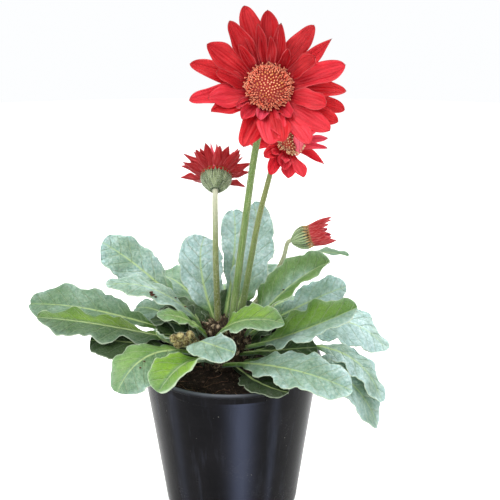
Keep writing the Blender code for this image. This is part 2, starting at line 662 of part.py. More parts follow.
# Flower stalks: a tapering tube with the cup of bracts on its end
def scape_route(scape, head):
    """Points of the stalk's centre line, from its socket in the crown up into the cup."""
    cup_foot = in_head(head, (0, 0, -PLATE_THICK / 2 - FIT_GAP - head.cup_height))
    facing = head_frame(head)[2]
    knots = [np.array(scape.foot), np.array(scape.middle), np.array(scape.neck),
             cup_foot - facing * scape.lead, cup_foot + facing * 0.003]
    ends = [2 * knots[0] - knots[1]] + knots + [2 * knots[-1] - knots[-2]]
    route = []
    for a, b, c, d in zip(ends, ends[1:], ends[2:], ends[3:]):
        steps = 4 if np.linalg.norm(c - b) > 0.03 else 2
        for k in range(steps):
            t = k / steps
            route.append(0.5 * (2 * b + (c - a) * t + (2 * a - 5 * b + 4 * c - d) * t * t
                                + (3 * b - a - 3 * c + d) * t ** 3))
    route.append(knots[-1])
    return route


def tube_solid(name, route, radii, sides, surface=None):
    """A tube with closed ends along a route."""
    points = []
    side_axis = np.array([1.0, 0.0, 0.0])
    for k, place in enumerate(route):
        direction = unit(route[min(k + 1, len(route) - 1)] - route[max(k - 1, 0)])
        side_axis = unit(side_axis - direction * (side_axis @ direction))
        other = np.cross(direction, side_axis)
        for side in range(sides):
            angle = 2 * math.pi * side / sides
            points.append(place + (side_axis * math.cos(angle) + other * math.sin(angle)) * radii[k])
    faces = grid_faces(len(route), sides, True)
    faces.append(tuple(range(sides)))
    faces.append(tuple(range((len(route) - 1) * sides, len(route) * sides)))
    return object_of(name, points, faces, surface)


def cup_solid(name, head, sides=20):
    """The green cup: overlapping bracts raised as ridges, with their points round the rim."""
    foot = -PLATE_THICK / 2 - FIT_GAP - head.cup_height
    radius = head.cup_radius
    profile = [(radius * CUP_TIP, foot - 0.0006)]
    for bell, egg, share in CUP_PROFILE:
        profile.append((radius * (bell + (egg - bell) * head.cup_belly), foot + head.cup_height * share))

    def bract(point, ring, side):
        if ring in (0, len(CUP_PROFILE)):
            return point
        ridge = 1 + BRACT_RIDGE * (1 if (side + ring // 2) % 2 else -1)
        return np.array([point[0] * ridge, point[1] * ridge, point[2]])

    cup = turned_solid(name, profile, sides, None, bract)
    for vertex in cup.data.vertices:
        vertex.co = Vector(in_head(head, vertex.co))
    return cup


def build_scape(name, surface):
    scape, head = SCAPES[name], HEADS[name]
    route = scape_route(scape, head)
    last = len(route) - 1
    radii = [scape.foot_radius + (scape.top_radius - scape.foot_radius) * k / last for k in range(last + 1)]
    stalk = tube_solid("scape_" + name, route, radii, SCAPE_SIDES, surface)
    return shade_round(keep_largest(combine(stalk, [cup_solid("cup_" + name, head)], "UNION")), 50)


def scape_sockets():
    """Cutters for the holes in the crown's top that the flower stalks stand in."""
    cutters = []
    for name, scape in SCAPES.items():
        foot, above = np.array(scape.foot), np.array(scape.middle)
        direction = unit(above - foot)
        route = [foot - direction * FIT_GAP, foot + direction * 0.012]
        radius = (scape.foot_radius + FIT_GAP) / math.cos(math.pi / SCAPE_SIDES)
        cutters.append(tube_solid("socket_" + name, route, [radius] * 2, SCAPE_SIDES))
    return cutters


# Young buds on the crown's left
def young_bud_foot():
    """Where the stem of the young buds leaves the crown, and the way that it goes."""
    foot = crown_point(YOUNG_BUD_FOOT_SIDE, YOUNG_BUD_FOOT_UP)
    return foot, unit(np.array([foot[0] - CROWN_CENTRE[0], foot[1] - CROWN_CENTRE[1], 0.003]))


def build_young_buds(surface):
    """Woolly buds on short stalks that leave the crown from one socket."""
    foot, outward = young_bud_foot()
    fork = foot + outward * 0.008
    stem = tube_solid("young_buds", [foot - outward * 0.004, foot + outward * 0.002, fork],
                      [YOUNG_BUD_STEM_RADIUS] * 3, SOCKET_SIDES, surface)
    pieces = []
    for k, (centre, radius) in enumerate(YOUNG_BUDS):
        centre = np.array(centre)
        pieces.append(tube_solid(f"bud_stalk_{k}", [fork - outward * 0.003, 0.5 * (fork + centre), centre],
                                 [YOUNG_BUD_STALK_RADIUS] * 3, 5))
        ball = turned_solid(f"bud_{k}", [(radius * math.sin(a), -radius * 1.1 * math.cos(a))
                                         for a in (0.55, 1.2, 1.95, 2.6)], 6, None)
        for vertex in ball.data.vertices:
            vertex.co = vertex.co + Vector(centre)
        pieces.append(ball)
    return shade_round(keep_largest(combine(stem, pieces, "UNION")), 70)


def young_bud_socket():
    foot, outward = young_bud_foot()
    radius = (YOUNG_BUD_STEM_RADIUS + FIT_GAP) / math.cos(math.pi / SOCKET_SIDES)
    route = [foot - outward * 0.0044, foot + outward * 0.006]
    return tube_solid("socket_young", route, [radius] * 2, SOCKET_SIDES)


# Pot and potting mix
def pot_outer_radius(height):
    """Outer radius of the pot's wall below the lip."""
    return BASE_RADIUS + (RIM_RADIUS - LIP_WIDTH - BASE_RADIUS) * height / (POT_HEIGHT - LIP_DEPTH)


def pot_inner_radius(height):
    return pot_outer_radius(height) - WALL


def build_pot(surface):
    floor_top = WALL * 1.2
    wall_top = POT_HEIGHT - LIP_DEPTH
    profile = [
        (BASE_RADIUS - 0.0020, 0.0), (pot_outer_radius(0.0020), 0.0020),
        (pot_outer_radius(wall_top), wall_top), (RIM_RADIUS - 0.0004, wall_top + 0.0004),
        (RIM_RADIUS, POT_HEIGHT - 0.0010), (RIM_RADIUS - 0.0012, POT_HEIGHT),
        (pot_inner_radius(wall_top) + 0.0002, POT_HEIGHT - 0.0006),
        (pot_inner_radius(wall_top), wall_top - 0.001),
        (pot_inner_radius(floor_top), floor_top),
    ]
    pot = turned_solid("pot", profile, POT_SIDES, surface)
    cutters = []
    for k in range(DRAIN_HOLES):
        angle = 2 * math.pi * (k + 0.5) / DRAIN_HOLES
        hole = turned_solid(f"drain_{k}", [(DRAIN_RADIUS, -0.01), (DRAIN_RADIUS, 0.01)], 10, None)
        centre = (DRAIN_CIRCLE * math.cos(angle), DRAIN_CIRCLE * math.sin(angle), 0.0)
        hole.data.transform(Matrix.Translation(centre))
        cutters.append(hole)
    combine(pot, cutters, "DIFFERENCE")
    return shade_round(combine(pot, [grip_solid()], "UNION"), 30)


def grip_solid():
    """The raised band under the lip, at the front of the pot."""
    top = POT_HEIGHT - LIP_DEPTH + 0.0010
    points, steps = [], 8
    for k in range(steps + 1):
        angle = math.radians(-96 - GRIP_HALF_ANGLE + 2 * GRIP_HALF_ANGLE * k / steps)
        droop = GRIP_HEIGHT * (0.78 + 0.22 * math.cos(math.radians(90) * (2 * k / steps - 1)))
        for height in (top, top - droop):
            for radius in (pot_outer_radius(height) - 0.0008, pot_outer_radius(height) + GRIP_PROUD):
                points.append((radius * math.cos(angle), radius * math.sin(angle), height))
    faces = []
    for k in range(steps):
        a, b = 4 * k, 4 * (k + 1)
        for i, j in ((0, 1), (1, 3), (3, 2), (2, 0)):
            faces.append((a + i, a + j, b + j, b + i))
    faces.append((0, 1, 3, 2))
    faces.append((4 * steps, 4 * steps + 1, 4 * steps + 3, 4 * steps + 2))
    return object_of("grip", points, faces)


def build_soil(surface):
    """Potting mix that fills the pot, mounded towards the crown's pocket."""
    floor = WALL * 1.2 + FIT_GAP
    pocket = CROWN_WAIST_RADIUS + CROWN_RELIEF + FIT_GAP + 0.0006
    edge = SOIL_TOP - 0.001
    draw = random.Random(7)

    def mound(radius):
        return SOIL_TOP + SOIL_MOUND * (1 - radius / RIM_RADIUS)

    rings = [0.060, 0.050, 0.040, 0.031, pocket]
    profile = [(0.012, floor), (pot_inner_radius(floor) - FIT_GAP * 2, floor),
               (pot_inner_radius(edge) - FIT_GAP * 2, edge)]
    profile += [(radius, mound(radius)) for radius in rings]
    profile += [(pocket, CROWN_FOOT - FIT_GAP), (0.006, CROWN_FOOT - FIT_GAP)]
    first, last = 3, 3 + len(rings) - 1

    def clods(point, ring, side):
        centred = smooth((0.060 - math.hypot(point[0], point[1])) / 0.02)
        moved = point + np.array([*CROWN_CENTRE, 0.0]) * centred if ring >= first else point
        if first <= ring < last:
            moved = moved + np.array([0, 0, draw.uniform(-SOIL_RELIEF, SOIL_RELIEF)])
        return moved

    return turned_solid("soil", profile, SOIL_SIDES, surface, clods)


def main():
    for old in list(bpy.data.objects):
        bpy.data.objects.remove(old)
    leaf_green = material("leaf_green", GREEN_LEAF, 0.62)
    young_green = material("young_green", YOUNG_GREEN, 0.60)
    scape_green = material("scape_green", SCAPE_GREEN, 0.65)
    ray_red = material("ray_red", RAY_RED, 0.50)
    disc_orange = material("disc_orange", DISC_ORANGE, 0.75)

    build_pot(material("black_plastic", PLASTIC_BLACK, 0.32))
    build_soil(material("potting_mix", MIX_BROWN, 0.95))
    crown = build_crown(material("crown_brown", CROWN_BROWN, 0.85))
    combine(crown, leaf_sockets() + scape_sockets() + [young_bud_socket()], "DIFFERENCE")
    build_leaves(leaf_green, young_green)
    for name in SCAPES:
        build_scape(name, scape_green)
    build_rays("main", [MAIN_RAYS, MAIN_INNER_RAYS], ray_red)
    build_rays("rear", [REAR_RAYS, whorl_rays(REAR_INNER_WHORL, 11)], ray_red)
    build_rays("left", [LEFT_RAYS, whorl_rays(LEFT_INNER_WHORL, 23)], ray_red)
    build_rays("bud", [BUD_RAYS], ray_red)
    for name in ("main", "rear", "left"):
        build_disc(name, disc_orange)
    build_young_buds(material("woolly_tan", WOOLLY_TAN, 0.9))


main()
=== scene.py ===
"""Looks of the potted gerbera: waved felted leaves, red daisy heads, hairy stalks, black nursery pot.

Metres, +Z up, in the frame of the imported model. -Y is the front.
"""

import json
import math
from collections import namedtuple

import bpy
import numpy as np
from mathutils import Matrix, Vector, noise

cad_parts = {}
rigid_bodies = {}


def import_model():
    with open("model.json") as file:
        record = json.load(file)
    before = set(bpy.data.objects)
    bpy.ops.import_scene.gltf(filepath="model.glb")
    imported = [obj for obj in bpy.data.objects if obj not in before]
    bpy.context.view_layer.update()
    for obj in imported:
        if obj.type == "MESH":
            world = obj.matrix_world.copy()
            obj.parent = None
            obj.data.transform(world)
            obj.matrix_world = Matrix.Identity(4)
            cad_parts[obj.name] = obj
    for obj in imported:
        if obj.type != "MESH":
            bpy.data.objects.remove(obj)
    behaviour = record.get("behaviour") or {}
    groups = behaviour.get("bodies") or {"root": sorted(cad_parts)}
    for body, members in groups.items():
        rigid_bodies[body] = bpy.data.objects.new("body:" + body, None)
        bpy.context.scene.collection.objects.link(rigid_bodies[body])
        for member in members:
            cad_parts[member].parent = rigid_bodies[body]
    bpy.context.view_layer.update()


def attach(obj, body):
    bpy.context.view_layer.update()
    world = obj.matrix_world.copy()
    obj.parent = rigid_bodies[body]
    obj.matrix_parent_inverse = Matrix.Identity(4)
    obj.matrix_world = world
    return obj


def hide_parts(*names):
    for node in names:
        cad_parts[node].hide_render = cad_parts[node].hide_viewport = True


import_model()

MM = 0.001

# The plant's own sizes, which the solids share
POT_HEIGHT = 0.122
RIM_RADIUS = 0.070
BASE_RADIUS = 0.052
WALL = 0.0016
POT_FLOOR = WALL * 1.2
LIP_WIDTH = 0.0022
LIP_DEPTH = 0.0034
DRAIN_HOLES = 8
DRAIN_RADIUS = 0.0045
DRAIN_CIRCLE = 0.037
GRIP_MIDDLE = -96
GRIP_HALF_ANGLE = 28
GRIP_HEIGHT = 0.0085
GRIP_PROUD = 0.0009
SOIL_TOP = 0.1135
SOIL_MOUND = 0.006
CROWN_CENTRE = np.array([-0.004, -0.002])
CROWN_FOOT = 0.098
CROWN_TOP = 0.147
CROWN_FOOT_RADIUS = 0.0165
CROWN_WAIST_RADIUS = 0.0190
CROWN_TOP_RADIUS = 0.0140
PETIOLE_HALF_WIDTH = 0.0021
PETIOLE_THICK = 0.0034
BLADE_THICK = 0.0007
RIB_THICK = 0.0022
SOCKET_DEPTH = 0.0045
TIP_ROUNDNESS = 0.45
MARGIN_LOBES = 4.5
LOBE_FADE = 1.5
LOBE_SHIFT = 1.4
MARGIN_WAVES = 3.1
PLATE_THICK = 0.0024
PLATE_GAP = 0.0003
RAY_THICK = 0.0007

# Camera, at the height and tilt of the photograph's viewpoint
CAMERA_PLACE = (0.0147, -0.56, 0.3767)
CAMERA_TILT = 16.95
CAMERA_LENS = 56.74


def linear(red, green, blue):
    """A screen colour, 0 to 255, as linear light."""
    return tuple((c / 255 / 12.92) if c <= 10 else ((c / 255 + 0.055) / 1.055) ** 2.4
                 for c in (red, green, blue))


# Small mathematics
def unit(vector):
    vector = np.asarray(vector, float)
    return vector / np.linalg.norm(vector, axis=-1, keepdims=True)


def smooth(value):
    """0 below 0, 1 above 1, and an even curve between."""
    value = np.clip(value, 0.0, 1.0)
    return value * value * (3 - 2 * value)


def turned(vectors, axes, angles):
    """Each vector turned about its unit axis by its angle, in radians."""
    angles = np.asarray(angles, float)[..., None]
    along = np.sum(vectors * axes, axis=-1, keepdims=True)
    return (vectors * np.cos(angles) + np.cross(axes, vectors) * np.sin(angles)
            + axes * along * (1 - np.cos(angles)))


def round_angles(sides):
    """Even angles once round, in radians."""
    return 2 * np.pi * np.arange(sides) / sides


def lathe(profile, angle):
    """Rings of points round +Z, from rows of radius and height."""
    radius, height = np.asarray(profile)[:, :1], np.asarray(profile)[:, 1:]
    return np.stack([radius * np.cos(angle), radius * np.sin(angle), np.repeat(height, len(angle), 1)], -1)


def ring_faces(rings, sides):
    """Quads between rings of points that are numbered ring by ring."""
    start = np.arange(rings - 1)[:, None] * sides
    side = np.arange(sides)[None, :]
    after = (side + 1) % sides
    quads = np.stack([start + side, start + after, start + sides + after, start + sides + side], -1)
    return quads.reshape(-1, 4).tolist()


def capped_faces(rings, sides, turned_over=False):
    """The quads between rings, and a face that closes each end."""
    ends = [tuple(range(sides))[::-1], tuple(range((rings - 1) * sides, rings * sides))]
    return ring_faces(rings, sides) + [end[::-1] if turned_over else end for end in ends]


# Meshes
def new_object(name, data):
    """An object in the scene that holds the data."""
    made = bpy.data.objects.new(name, data)
    bpy.context.scene.collection.objects.link(made)
    return made


def remove(*helpers):
    for helper in helpers:
        bpy.data.objects.remove(helper)


class Build:
    """Collects points, faces and named values of one mesh, part by part."""

    def __init__(self):
        self.points, self.faces, self.values, self.count = [], [], {}, 0

    def add(self, points, faces, **values):
        """Adds points and their faces; a value is one number, or one for each point."""
        points = np.asarray(points, float).reshape(-1, 3)
        self.faces.extend(tuple(i + self.count for i in face) for face in faces)
        self.points.append(points)
        for key, value in values.items():
            column = np.asarray(value, float).reshape(-1)
            column = np.broadcast_to(column, (len(points),)) if column.size == 1 else column
            self.values.setdefault(key, []).append(column)
        self.count += len(points)

    def sheet(self, top, bottom, **values):
        """A closed solid from the two sides of a sheet, each an array of rows of points.

        A value is one for both sides or a pair, and each is a number, a row, a column or a whole grid.
        """
        rows, wide = top.shape[:2]
        faces = ring_faces(rows, 2 * wide)
        for row, flip in ((0, False), (rows - 1, True)):
            base = row * 2 * wide
            for k in range(wide - 1):
                cap = (base + k, base + 2 * wide - 1 - k, base + 2 * wide - 2 - k, base + k + 1)
                faces.append(cap[::-1] if flip else cap)
        for key, value in values.items():
            pair = value if isinstance(value, tuple) else (value, value)
            values[key] = self.wrapped(*(np.broadcast_to(side, top.shape[:2]) for side in pair))
        self.add(self.wrapped(top, bottom), faces, **values)

    @staticmethod
    def wrapped(top, bottom):
        """Rows that run over the top and come back under the bottom."""
        return np.concatenate([top, bottom[:, ::-1]], axis=1)

    def tube(self, route, radii, sides, **values):
        """A tube with closed ends along a route; radii is one a row, or one a row and side."""
        route = np.asarray(route, float)
        ahead = unit(np.gradient(route, axis=0))
        radii = np.asarray(radii, float)
        radii = radii[:, None] if radii.ndim == 1 else radii
        side_axis = np.array([0.0, 1.0, 0.0] if abs(ahead[0][0]) > 0.9 else [1.0, 0.0, 0.0])
        axes = []
        for direction in ahead:
            side_axis = unit(side_axis - direction * (side_axis @ direction))
            axes.append(side_axis)
        axes = np.array(axes)[:, None]
        others = np.cross(ahead[:, None], axes)
        angle = round_angles(sides)[None, :, None]
        around = axes * np.cos(angle) + others * np.sin(angle)
        rows = {key: np.repeat(np.asarray(value, float), sides) if np.size(value) > 1 else value
                for key, value in values.items()}
        self.add(route[:, None] + around * radii[..., None], capped_faces(len(route), sides), **rows)

    def finish(self, name, surface, sharp_angle=None):
        """The collected parts as one object, its faces pointing out."""
        mesh = bpy.data.meshes.new(name)
        mesh.from_pydata(np.concatenate(self.points).tolist(), [], self.faces)
        for key, parts in self.values.items():
            layer = mesh.attributes.new(key, "FLOAT", "POINT")
            layer.data.foreach_set("value", np.concatenate(parts).astype(np.float32))
        if signed_volume(mesh) < 0:
            mesh.flip_normals()
        if surface is not None:
            mesh.materials.append(surface)
        mesh.shade_smooth()
        if sharp_angle is not None:
            mesh.set_sharp_from_angle(angle=math.radians(sharp_angle))
        return new_object(name, mesh)


def mesh_points(mesh):
    """The points of a mesh, one a row."""
    places = np.zeros(len(mesh.vertices) * 3, np.float32)
    mesh.vertices.foreach_get("co", places)
    return places.reshape(-1, 3).astype(float)


def signed_volume(mesh):
    """Volume inside a mesh, below 0 where its faces point inwards."""
    mesh.calc_loop_triangles()
    corners = np.zeros(len(mesh.loop_triangles) * 3, np.int32)
    mesh.loop_triangles.foreach_get("vertices", corners)
    a, b, c = mesh_points(mesh)[corners.reshape(-1, 3)].transpose(1, 0, 2)
    return float(np.sum(a * np.cross(b, c)) / 6)


def place(piece, slot, *nodes):
    """Rides a piece on the plant's one body and hides the solids that it stands for; the slot is not used."""
    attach(piece, "root")
    if nodes:
        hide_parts(*nodes)


# Node trees, for materials and for what repeats
class Tree:
    """Short calls that add nodes to a tree; a value is a number, a screen colour or another node's output."""

    def __init__(self, tree):
        self.tree = tree

    def node(self, kind, *values, **settings):
        """Adds a node, sets its settings, and fills its inputs: in order, or by name in a dict."""
        made = self.tree.nodes.new(kind)
        for key, value in settings.items():
            setattr(made, key, value)
        for entry in values:
            if isinstance(entry, dict):
                for key, value in entry.items():
                    self.fill(made.inputs[key], value)
        plain = [entry for entry in values if not isinstance(entry, dict)]
        for socket, value in zip([s for s in made.inputs if s.enabled], plain):
            self.fill(socket, value)
        return made

    def fill(self, socket, value):
        if isinstance(value, bpy.types.NodeSocket):
            self.tree.links.new(value, socket)
        elif socket.type == "RGBA":
            socket.default_value = (*linear(*value), 1.0)
        elif value is not None:
            socket.default_value = value

    def math(self, operation, *values):
        return self.node("ShaderNodeMath", *values, operation=operation).outputs[0]

    def times(self, product, *factors):
        for factor in factors:
            product = self.math("MULTIPLY", product, factor)
        return product

    def scaled(self, value, factor, shift):
        return self.math("MULTIPLY_ADD", value, factor, shift)

    def values(self, names):
        """The values that the mesh carries under these names."""
        return [self.node("ShaderNodeAttribute", attribute_name=name).outputs["Fac"] for name in names.split()]

    def step(self, value, low, high, start=0.0, end=1.0):
        """An even step from start to end as value goes from low to high."""
        ends = {"Value": value, "From Min": low, "From Max": high, "To Min": start, "To Max": end}
        return self.node("ShaderNodeMapRange", ends, interpolation_type="SMOOTHSTEP").outputs["Result"]

    def mix(self, share, first, second):
        return self.node("ShaderNodeMix", {0: share, 6: first, 7: second}, data_type="RGBA").outputs[2]

    def tint(self, colour, *layers):
        """A colour with layers over it, each a colour and what its share is the product of."""
        for layer, *shares in layers:
            colour = self.mix(self.times(*shares), colour, layer)
        return colour

    def noise(self, scale, detail=3.0, roughness=0.55, vector=None):
        made = self.node("ShaderNodeTexNoise", {"Vector": vector or self.place_of(), "Scale": scale,
                                                "Detail": detail, "Roughness": roughness})
        return made.outputs["Fac"]

    def cells(self, scale, feature="F1"):
        made = self.node("ShaderNodeTexVoronoi", {"Vector": self.place_of(), "Scale": scale}, feature=feature)
        return made.outputs["Distance"]

    def place_of(self, scale=None):
        """Object coordinates, stretched by scale."""
        source = self.node("ShaderNodeTexCoord").outputs["Object"]
        if scale is None:
            return source
        return self.node("ShaderNodeMapping", {"Vector": source, "Scale": scale}).outputs["Vector"]

    def join(self, x, y, z):
        return self.node("ShaderNodeCombineXYZ", x, y, z).outputs[0]

    def add(self, first, second):
        return self.node("ShaderNodeVectorMath", first, second, operation="ADD").outputs[0]

    def chance(self, low, high, seed=None, kind="FLOAT"):
        """A random number, or a random vector, between low and high."""
        at, out = (2, 1) if kind == "FLOAT" else (0, 0)
        ends = {at: low, at + 1: high, "Seed": seed}
        return self.node("FunctionNodeRandomValue", ends, data_type=kind).outputs[out]

    def aim(self, way):
        """The turn that brings +Z to a direction."""
        return self.node("FunctionNodeAlignRotationToVector", {"Vector": way}, axis="Z").outputs[0]

    def spread(self, given):
        """Random points on the faces that the tree is given."""
        names = {"Mesh": "Geometry", "Density": "Density", "Seed": "Seed"}
        return self.node("GeometryNodeDistributePointsOnFaces",
                         {key: given[name] for key, name in names.items()}).outputs

    def copies(self, points, shape, turn, size, chosen=None):
        return self.node("GeometryNodeInstanceOnPoints",
                         {"Points": points, "Selection": chosen, "Instance": shape, "Rotation": turn,
                          "Scale": size}).outputs[0]

    def shape_of(self, piece):
        return self.node("GeometryNodeObjectInfo", {"Object": piece}).outputs["Geometry"]


def surface(name, roughness, **settings):
    """A new material and its tree, with the numbers that are the same all over set on the shader."""
    made = bpy.data.materials.new(name)
    made.use_nodes = True
    t, shader = Tree(made.node_tree), made.node_tree.nodes["Principled BSDF"]
    for key, value in dict(settings, Roughness=roughness).items():
        t.fill(shader.inputs[key.replace("_", " ")], value)
    return made, t, shader


def dress(t, shader, colour, *bumps):
    """Gives a shader its colour and its bumps: the height, the depth and the strength of each."""
    normal = None
    for height, distance, strength in bumps:
        normal = t.node("ShaderNodeBump", {"Height": height, "Distance": distance, "Strength": strength,
                                           "Normal": normal}).outputs["Normal"]
    t.fill(shader.inputs["Base Color"], colour)
    t.fill(shader.inputs["Normal"], normal)
    return normal


def through_light(t, shader, colour, share, normal=None):
    """Lets a share of the light pass through a thin surface."""
    shine = t.node("ShaderNodeBsdfTranslucent", {"Color": colour, "Normal": normal}).outputs[0]
    both = t.node("ShaderNodeMixShader", {0: share, 1: shader.outputs[0], 2: shine}).outputs[0]
    t.fill(t.tree.nodes["Material Output"].inputs["Surface"], both)


# Finishes
def leaf_surface():
    """Felted gerbera leaf. Values on the mesh say how far a point is from the midrib and the margin."""
    made, t, shader = surface("leaf_felt", 0.55, Sheen_Weight=0.08, Sheen_Roughness=0.4,
                              Sheen_Tint=(225, 240, 235), Specular_IOR_Level=0.32)
    rib, edge, veins, upper, bloom, glow, shade, along = t.values("rib edge veins upper bloom glow shade along")
    broad, fine, felt = t.noise(42.0, 5.0, 0.62), t.noise(1500.0, 2.0, 0.6), t.noise(420.0, 3.0, 0.6)

    tuft = t.step(felt, 0.3, 0.75)
    green = t.mix(tuft, (58, 98, 14), (90, 132, 32))
    pale = t.mix(tuft, (172, 211, 209), (232, 253, 255))
    lit = t.mix(t.step(broad, 0.3, 0.7), (100, 150, 2), (148, 192, 22))
    vein = t.math("PINGPONG", t.scaled(t.noise(120.0, 2.0), 0.22, veins), 0.5)
    vein = t.times(t.step(vein, 0.085, 0.01), t.step(edge, 0.4, 3.5))
    net = t.times(t.step(t.cells(330.0, "DISTANCE_TO_EDGE"), 0.10, 0.02), t.step(rib, 0.8, 2.5))
    midrib = t.step(rib, t.scaled(along, -0.95, 1.45), t.scaled(along, -0.50, 0.60))
    clear = t.scaled(shade, -0.9, 1.0)
    # Painted light and shade in the colour: lit green where light passes through, a dark colour for leaves in
    # shade, and pale felt partly as painted sky sheen.
    colour = t.tint(green, (pale, bloom, t.step(broad, 0.30, 0.70, 0.46, 1.28)), (lit, glow),
                    ((32, 54, 8), shade), ((196, 220, 166), vein, clear, 0.30),
                    ((176, 202, 150), net, clear, 0.12), ((200, 224, 148), midrib, t.scaled(along, -0.42, 0.86)),
                    ((220, 236, 222), t.step(fine, 0.56, 0.72), clear, 0.22))
    # The underside, the pale margin and the light through the leaf take the painted shade too.
    under = t.tint((150, 178, 146), ((196, 212, 166), vein, 0.6), ((200, 214, 150), midrib, 0.9),
                   ((66, 86, 46), shade, 0.85))
    margin = t.times(t.step(edge, 0.95, 0.15), t.scaled(shade, -0.5, 0.82))
    colour = t.tint(under, (colour, upper), ((216, 230, 200), margin))

    relief = t.scaled(vein, -0.55, t.times(net, -0.30))
    normal = dress(t, shader, colour, (relief, 0.0012, 0.9), (felt, 0.0008, 0.5), (fine, 0.00025, 0.6))
    shine = t.mix(glow, (120, 170, 50), (170, 215, 36))
    shine = t.tint(shine, ((174, 208, 200), bloom, 0.85), ((20, 34, 8), shade))
    through_light(t, shader, shine, 0.28, normal)
    return made


def petal_surface(name, face, deep, back, pale, glow):
    """Satin petal with fine grooves; face and back are its two sides, deep its root, pale streaks the back."""
    made, t, shader = surface(name, 0.48, Sheen_Weight=0.03, Sheen_Roughness=0.4,
                              Sheen_Tint=(255, 160, 170), Specular_IOR_Level=0.24)
    across, along, upper, own, edge, rolled, point = t.values("across along upper own edge rolled point")
    lengthwise = t.join(t.times(across, 1.9), t.times(along, 1.1), t.times(own, 9.0))
    streak = t.noise(2.6, 4.0, 0.6, vector=lengthwise)
    grooves = t.math("SINE", t.times(across, 21.0))
    pleats = t.math("COSINE", t.times(across, 9.42))
    rose = t.mix(t.step(streak, 0.4, 0.8), (236, 50, 68), (250, 88, 106))
    # Painted shade: rays that point up take more of the deep red through their own value, and grooves and pleats
    # are darker.
    colour = t.tint(deep, (face, t.step(streak, 0.20, 0.60)), (rose, t.step(own, 0.45, 1.0), 0.75),
                    (deep, t.step(own, 0.45, 0.0), 0.70),
                    ((242, 90, 120), t.step(rolled, 0.2, 0.6), t.step(own, 0.35, 0.85), 0.70),
                    ((244, 70, 74), t.step(t.noise(90.0, 3.0), 0.42, 0.75), 0.35),
                    (deep, t.step(along, 0.60, 0.0), 0.80), (deep, t.step(grooves, 0.2, -1.0), 0.08),
                    (deep, t.step(pleats, 0.1, -1.0), 0.22))
    under = t.tint(back, (pale, t.step(streak, 0.46, 0.80), 0.6), ((120, 128, 66), t.step(along, 0.16, 0.02)),
                   ((244, 104, 124), t.step(rolled, 0.70, 0.88)))
    # Painted highlight: a pale rim along the edges, wider and stronger where the sides roll up.
    rim = t.times(t.step(edge, t.scaled(rolled, 1.6, 1.1), 0.0), t.scaled(rolled, 0.50, 0.08))
    dry = t.times(t.step(along, 0.93, 1.0), t.times(point, 1.2))
    colour = t.tint(under, (colour, upper), ((244, 128, 130), rim), ((128, 58, 44), dry))
    normal = dress(t, shader, colour, (grooves, 0.00022, 0.50), (streak, 0.0004, 0.5),
                   (t.noise(2400.0, 2.0), 0.00008, 0.5))
    through_light(t, shader, (250, 40, 36), glow, normal)
    return made


def floret_surface(name, tip, body, gap, heart):
    """Disc floret: painted shade in the gaps, pale on the tips with a painted highlight, and another colour
    towards the head's heart.
    """
    made, t, shader = surface(name, 0.55, Sheen_Weight=0.15, Specular_IOR_Level=0.35)
    height, ring, own = t.values("height ring own")
    outer = t.mix(t.step(own, 0.2, 0.9), tip, body)
    inner = t.mix(t.step(own, 0.1, 0.9), heart, tip)
    colour = t.tint(inner, (outer, t.step(ring, 0.18, 0.46)), ((140, 92, 60), t.step(ring, 0.76, 1.0), 0.60))
    # Painted shade low on each floret, where the gaps are, and a painted highlight on the very tips.
    colour = t.tint(gap, (colour, t.step(height, 0.40, 0.92)), ((255, 204, 166), t.step(height, 0.86, 1.0), 0.50))
    dress(t, shader, colour, (t.noise(1800.0, 2.0), 0.0001, 0.6))
    return made


def stalk_surface(name, low, high, hairs, top=None):
    """Ribbed flower stalk, low colour at its foot and high under the head."""
    made, t, shader = surface(name, 0.50, Sheen_Weight=0.35, Sheen_Roughness=0.45,
                              Sheen_Tint=(240, 245, 220), Specular_IOR_Level=0.35)
    along, around = t.values("along around")
    fibres = t.noise(3.0, 4.0, 0.6, vector=t.join(t.times(around, 5.0), t.times(along, 4.0), 0.0))
    colour = t.mix(t.step(along, 0.1, 0.85), low, high)
    if top is not None:
        colour = t.mix(t.step(along, 0.55, 0.98), colour, top)
    colour = t.tint(colour, ((196, 206, 140), t.step(fibres, 0.42, 0.75), 0.35),
                    ((226, 230, 206), t.step(t.noise(1300.0, 2.0), 0.55, 0.72), hairs))
    ribs = t.math("SINE", t.times(around, 75.4))
    dress(t, shader, colour, (ribs, 0.0003, 0.5), (fibres, 0.0003, 0.5))
    through_light(t, shader, (170, 200, 90), 0.10)
    return made


def bract_surface(name, face, ridge, tip):
    """Narrow green bract with a pale keel, woolly hair and a coloured point."""
    made, t, shader = surface(name, 0.62, Sheen_Weight=0.25, Sheen_Roughness=0.5,
                              Sheen_Tint=(240, 245, 230), Specular_IOR_Level=0.3)
    across, along, own = t.values("across along own")
    wool, aside = t.noise(900.0, 3.0, 0.65), t.math("ABSOLUTE", across)
    colour = t.tint(face, (ridge, t.step(own, 0.0, 1.0)), (ridge, t.step(aside, 0.42, 0.05), 0.55),
                    ((58, 72, 52), t.step(aside, 0.50, 0.95), 0.8),
                    ((214, 224, 208), t.step(wool, 0.50, 0.70), 0.28), (tip, t.step(along, 0.74, 1.0)))
    dress(t, shader, colour, (wool, 0.0003, 0.7))
    return made


def hair_surface(name, colour):
    """Fine pale hair."""
    made, t, shader = surface(name, 0.6, Sheen_Weight=0.3)
    dress(t, shader, t.mix(t.step(t.noise(400.0, 2.0), 0.3, 0.7), colour, (238, 238, 228)))
    through_light(t, shader, (240, 242, 228), 0.35)
    return made


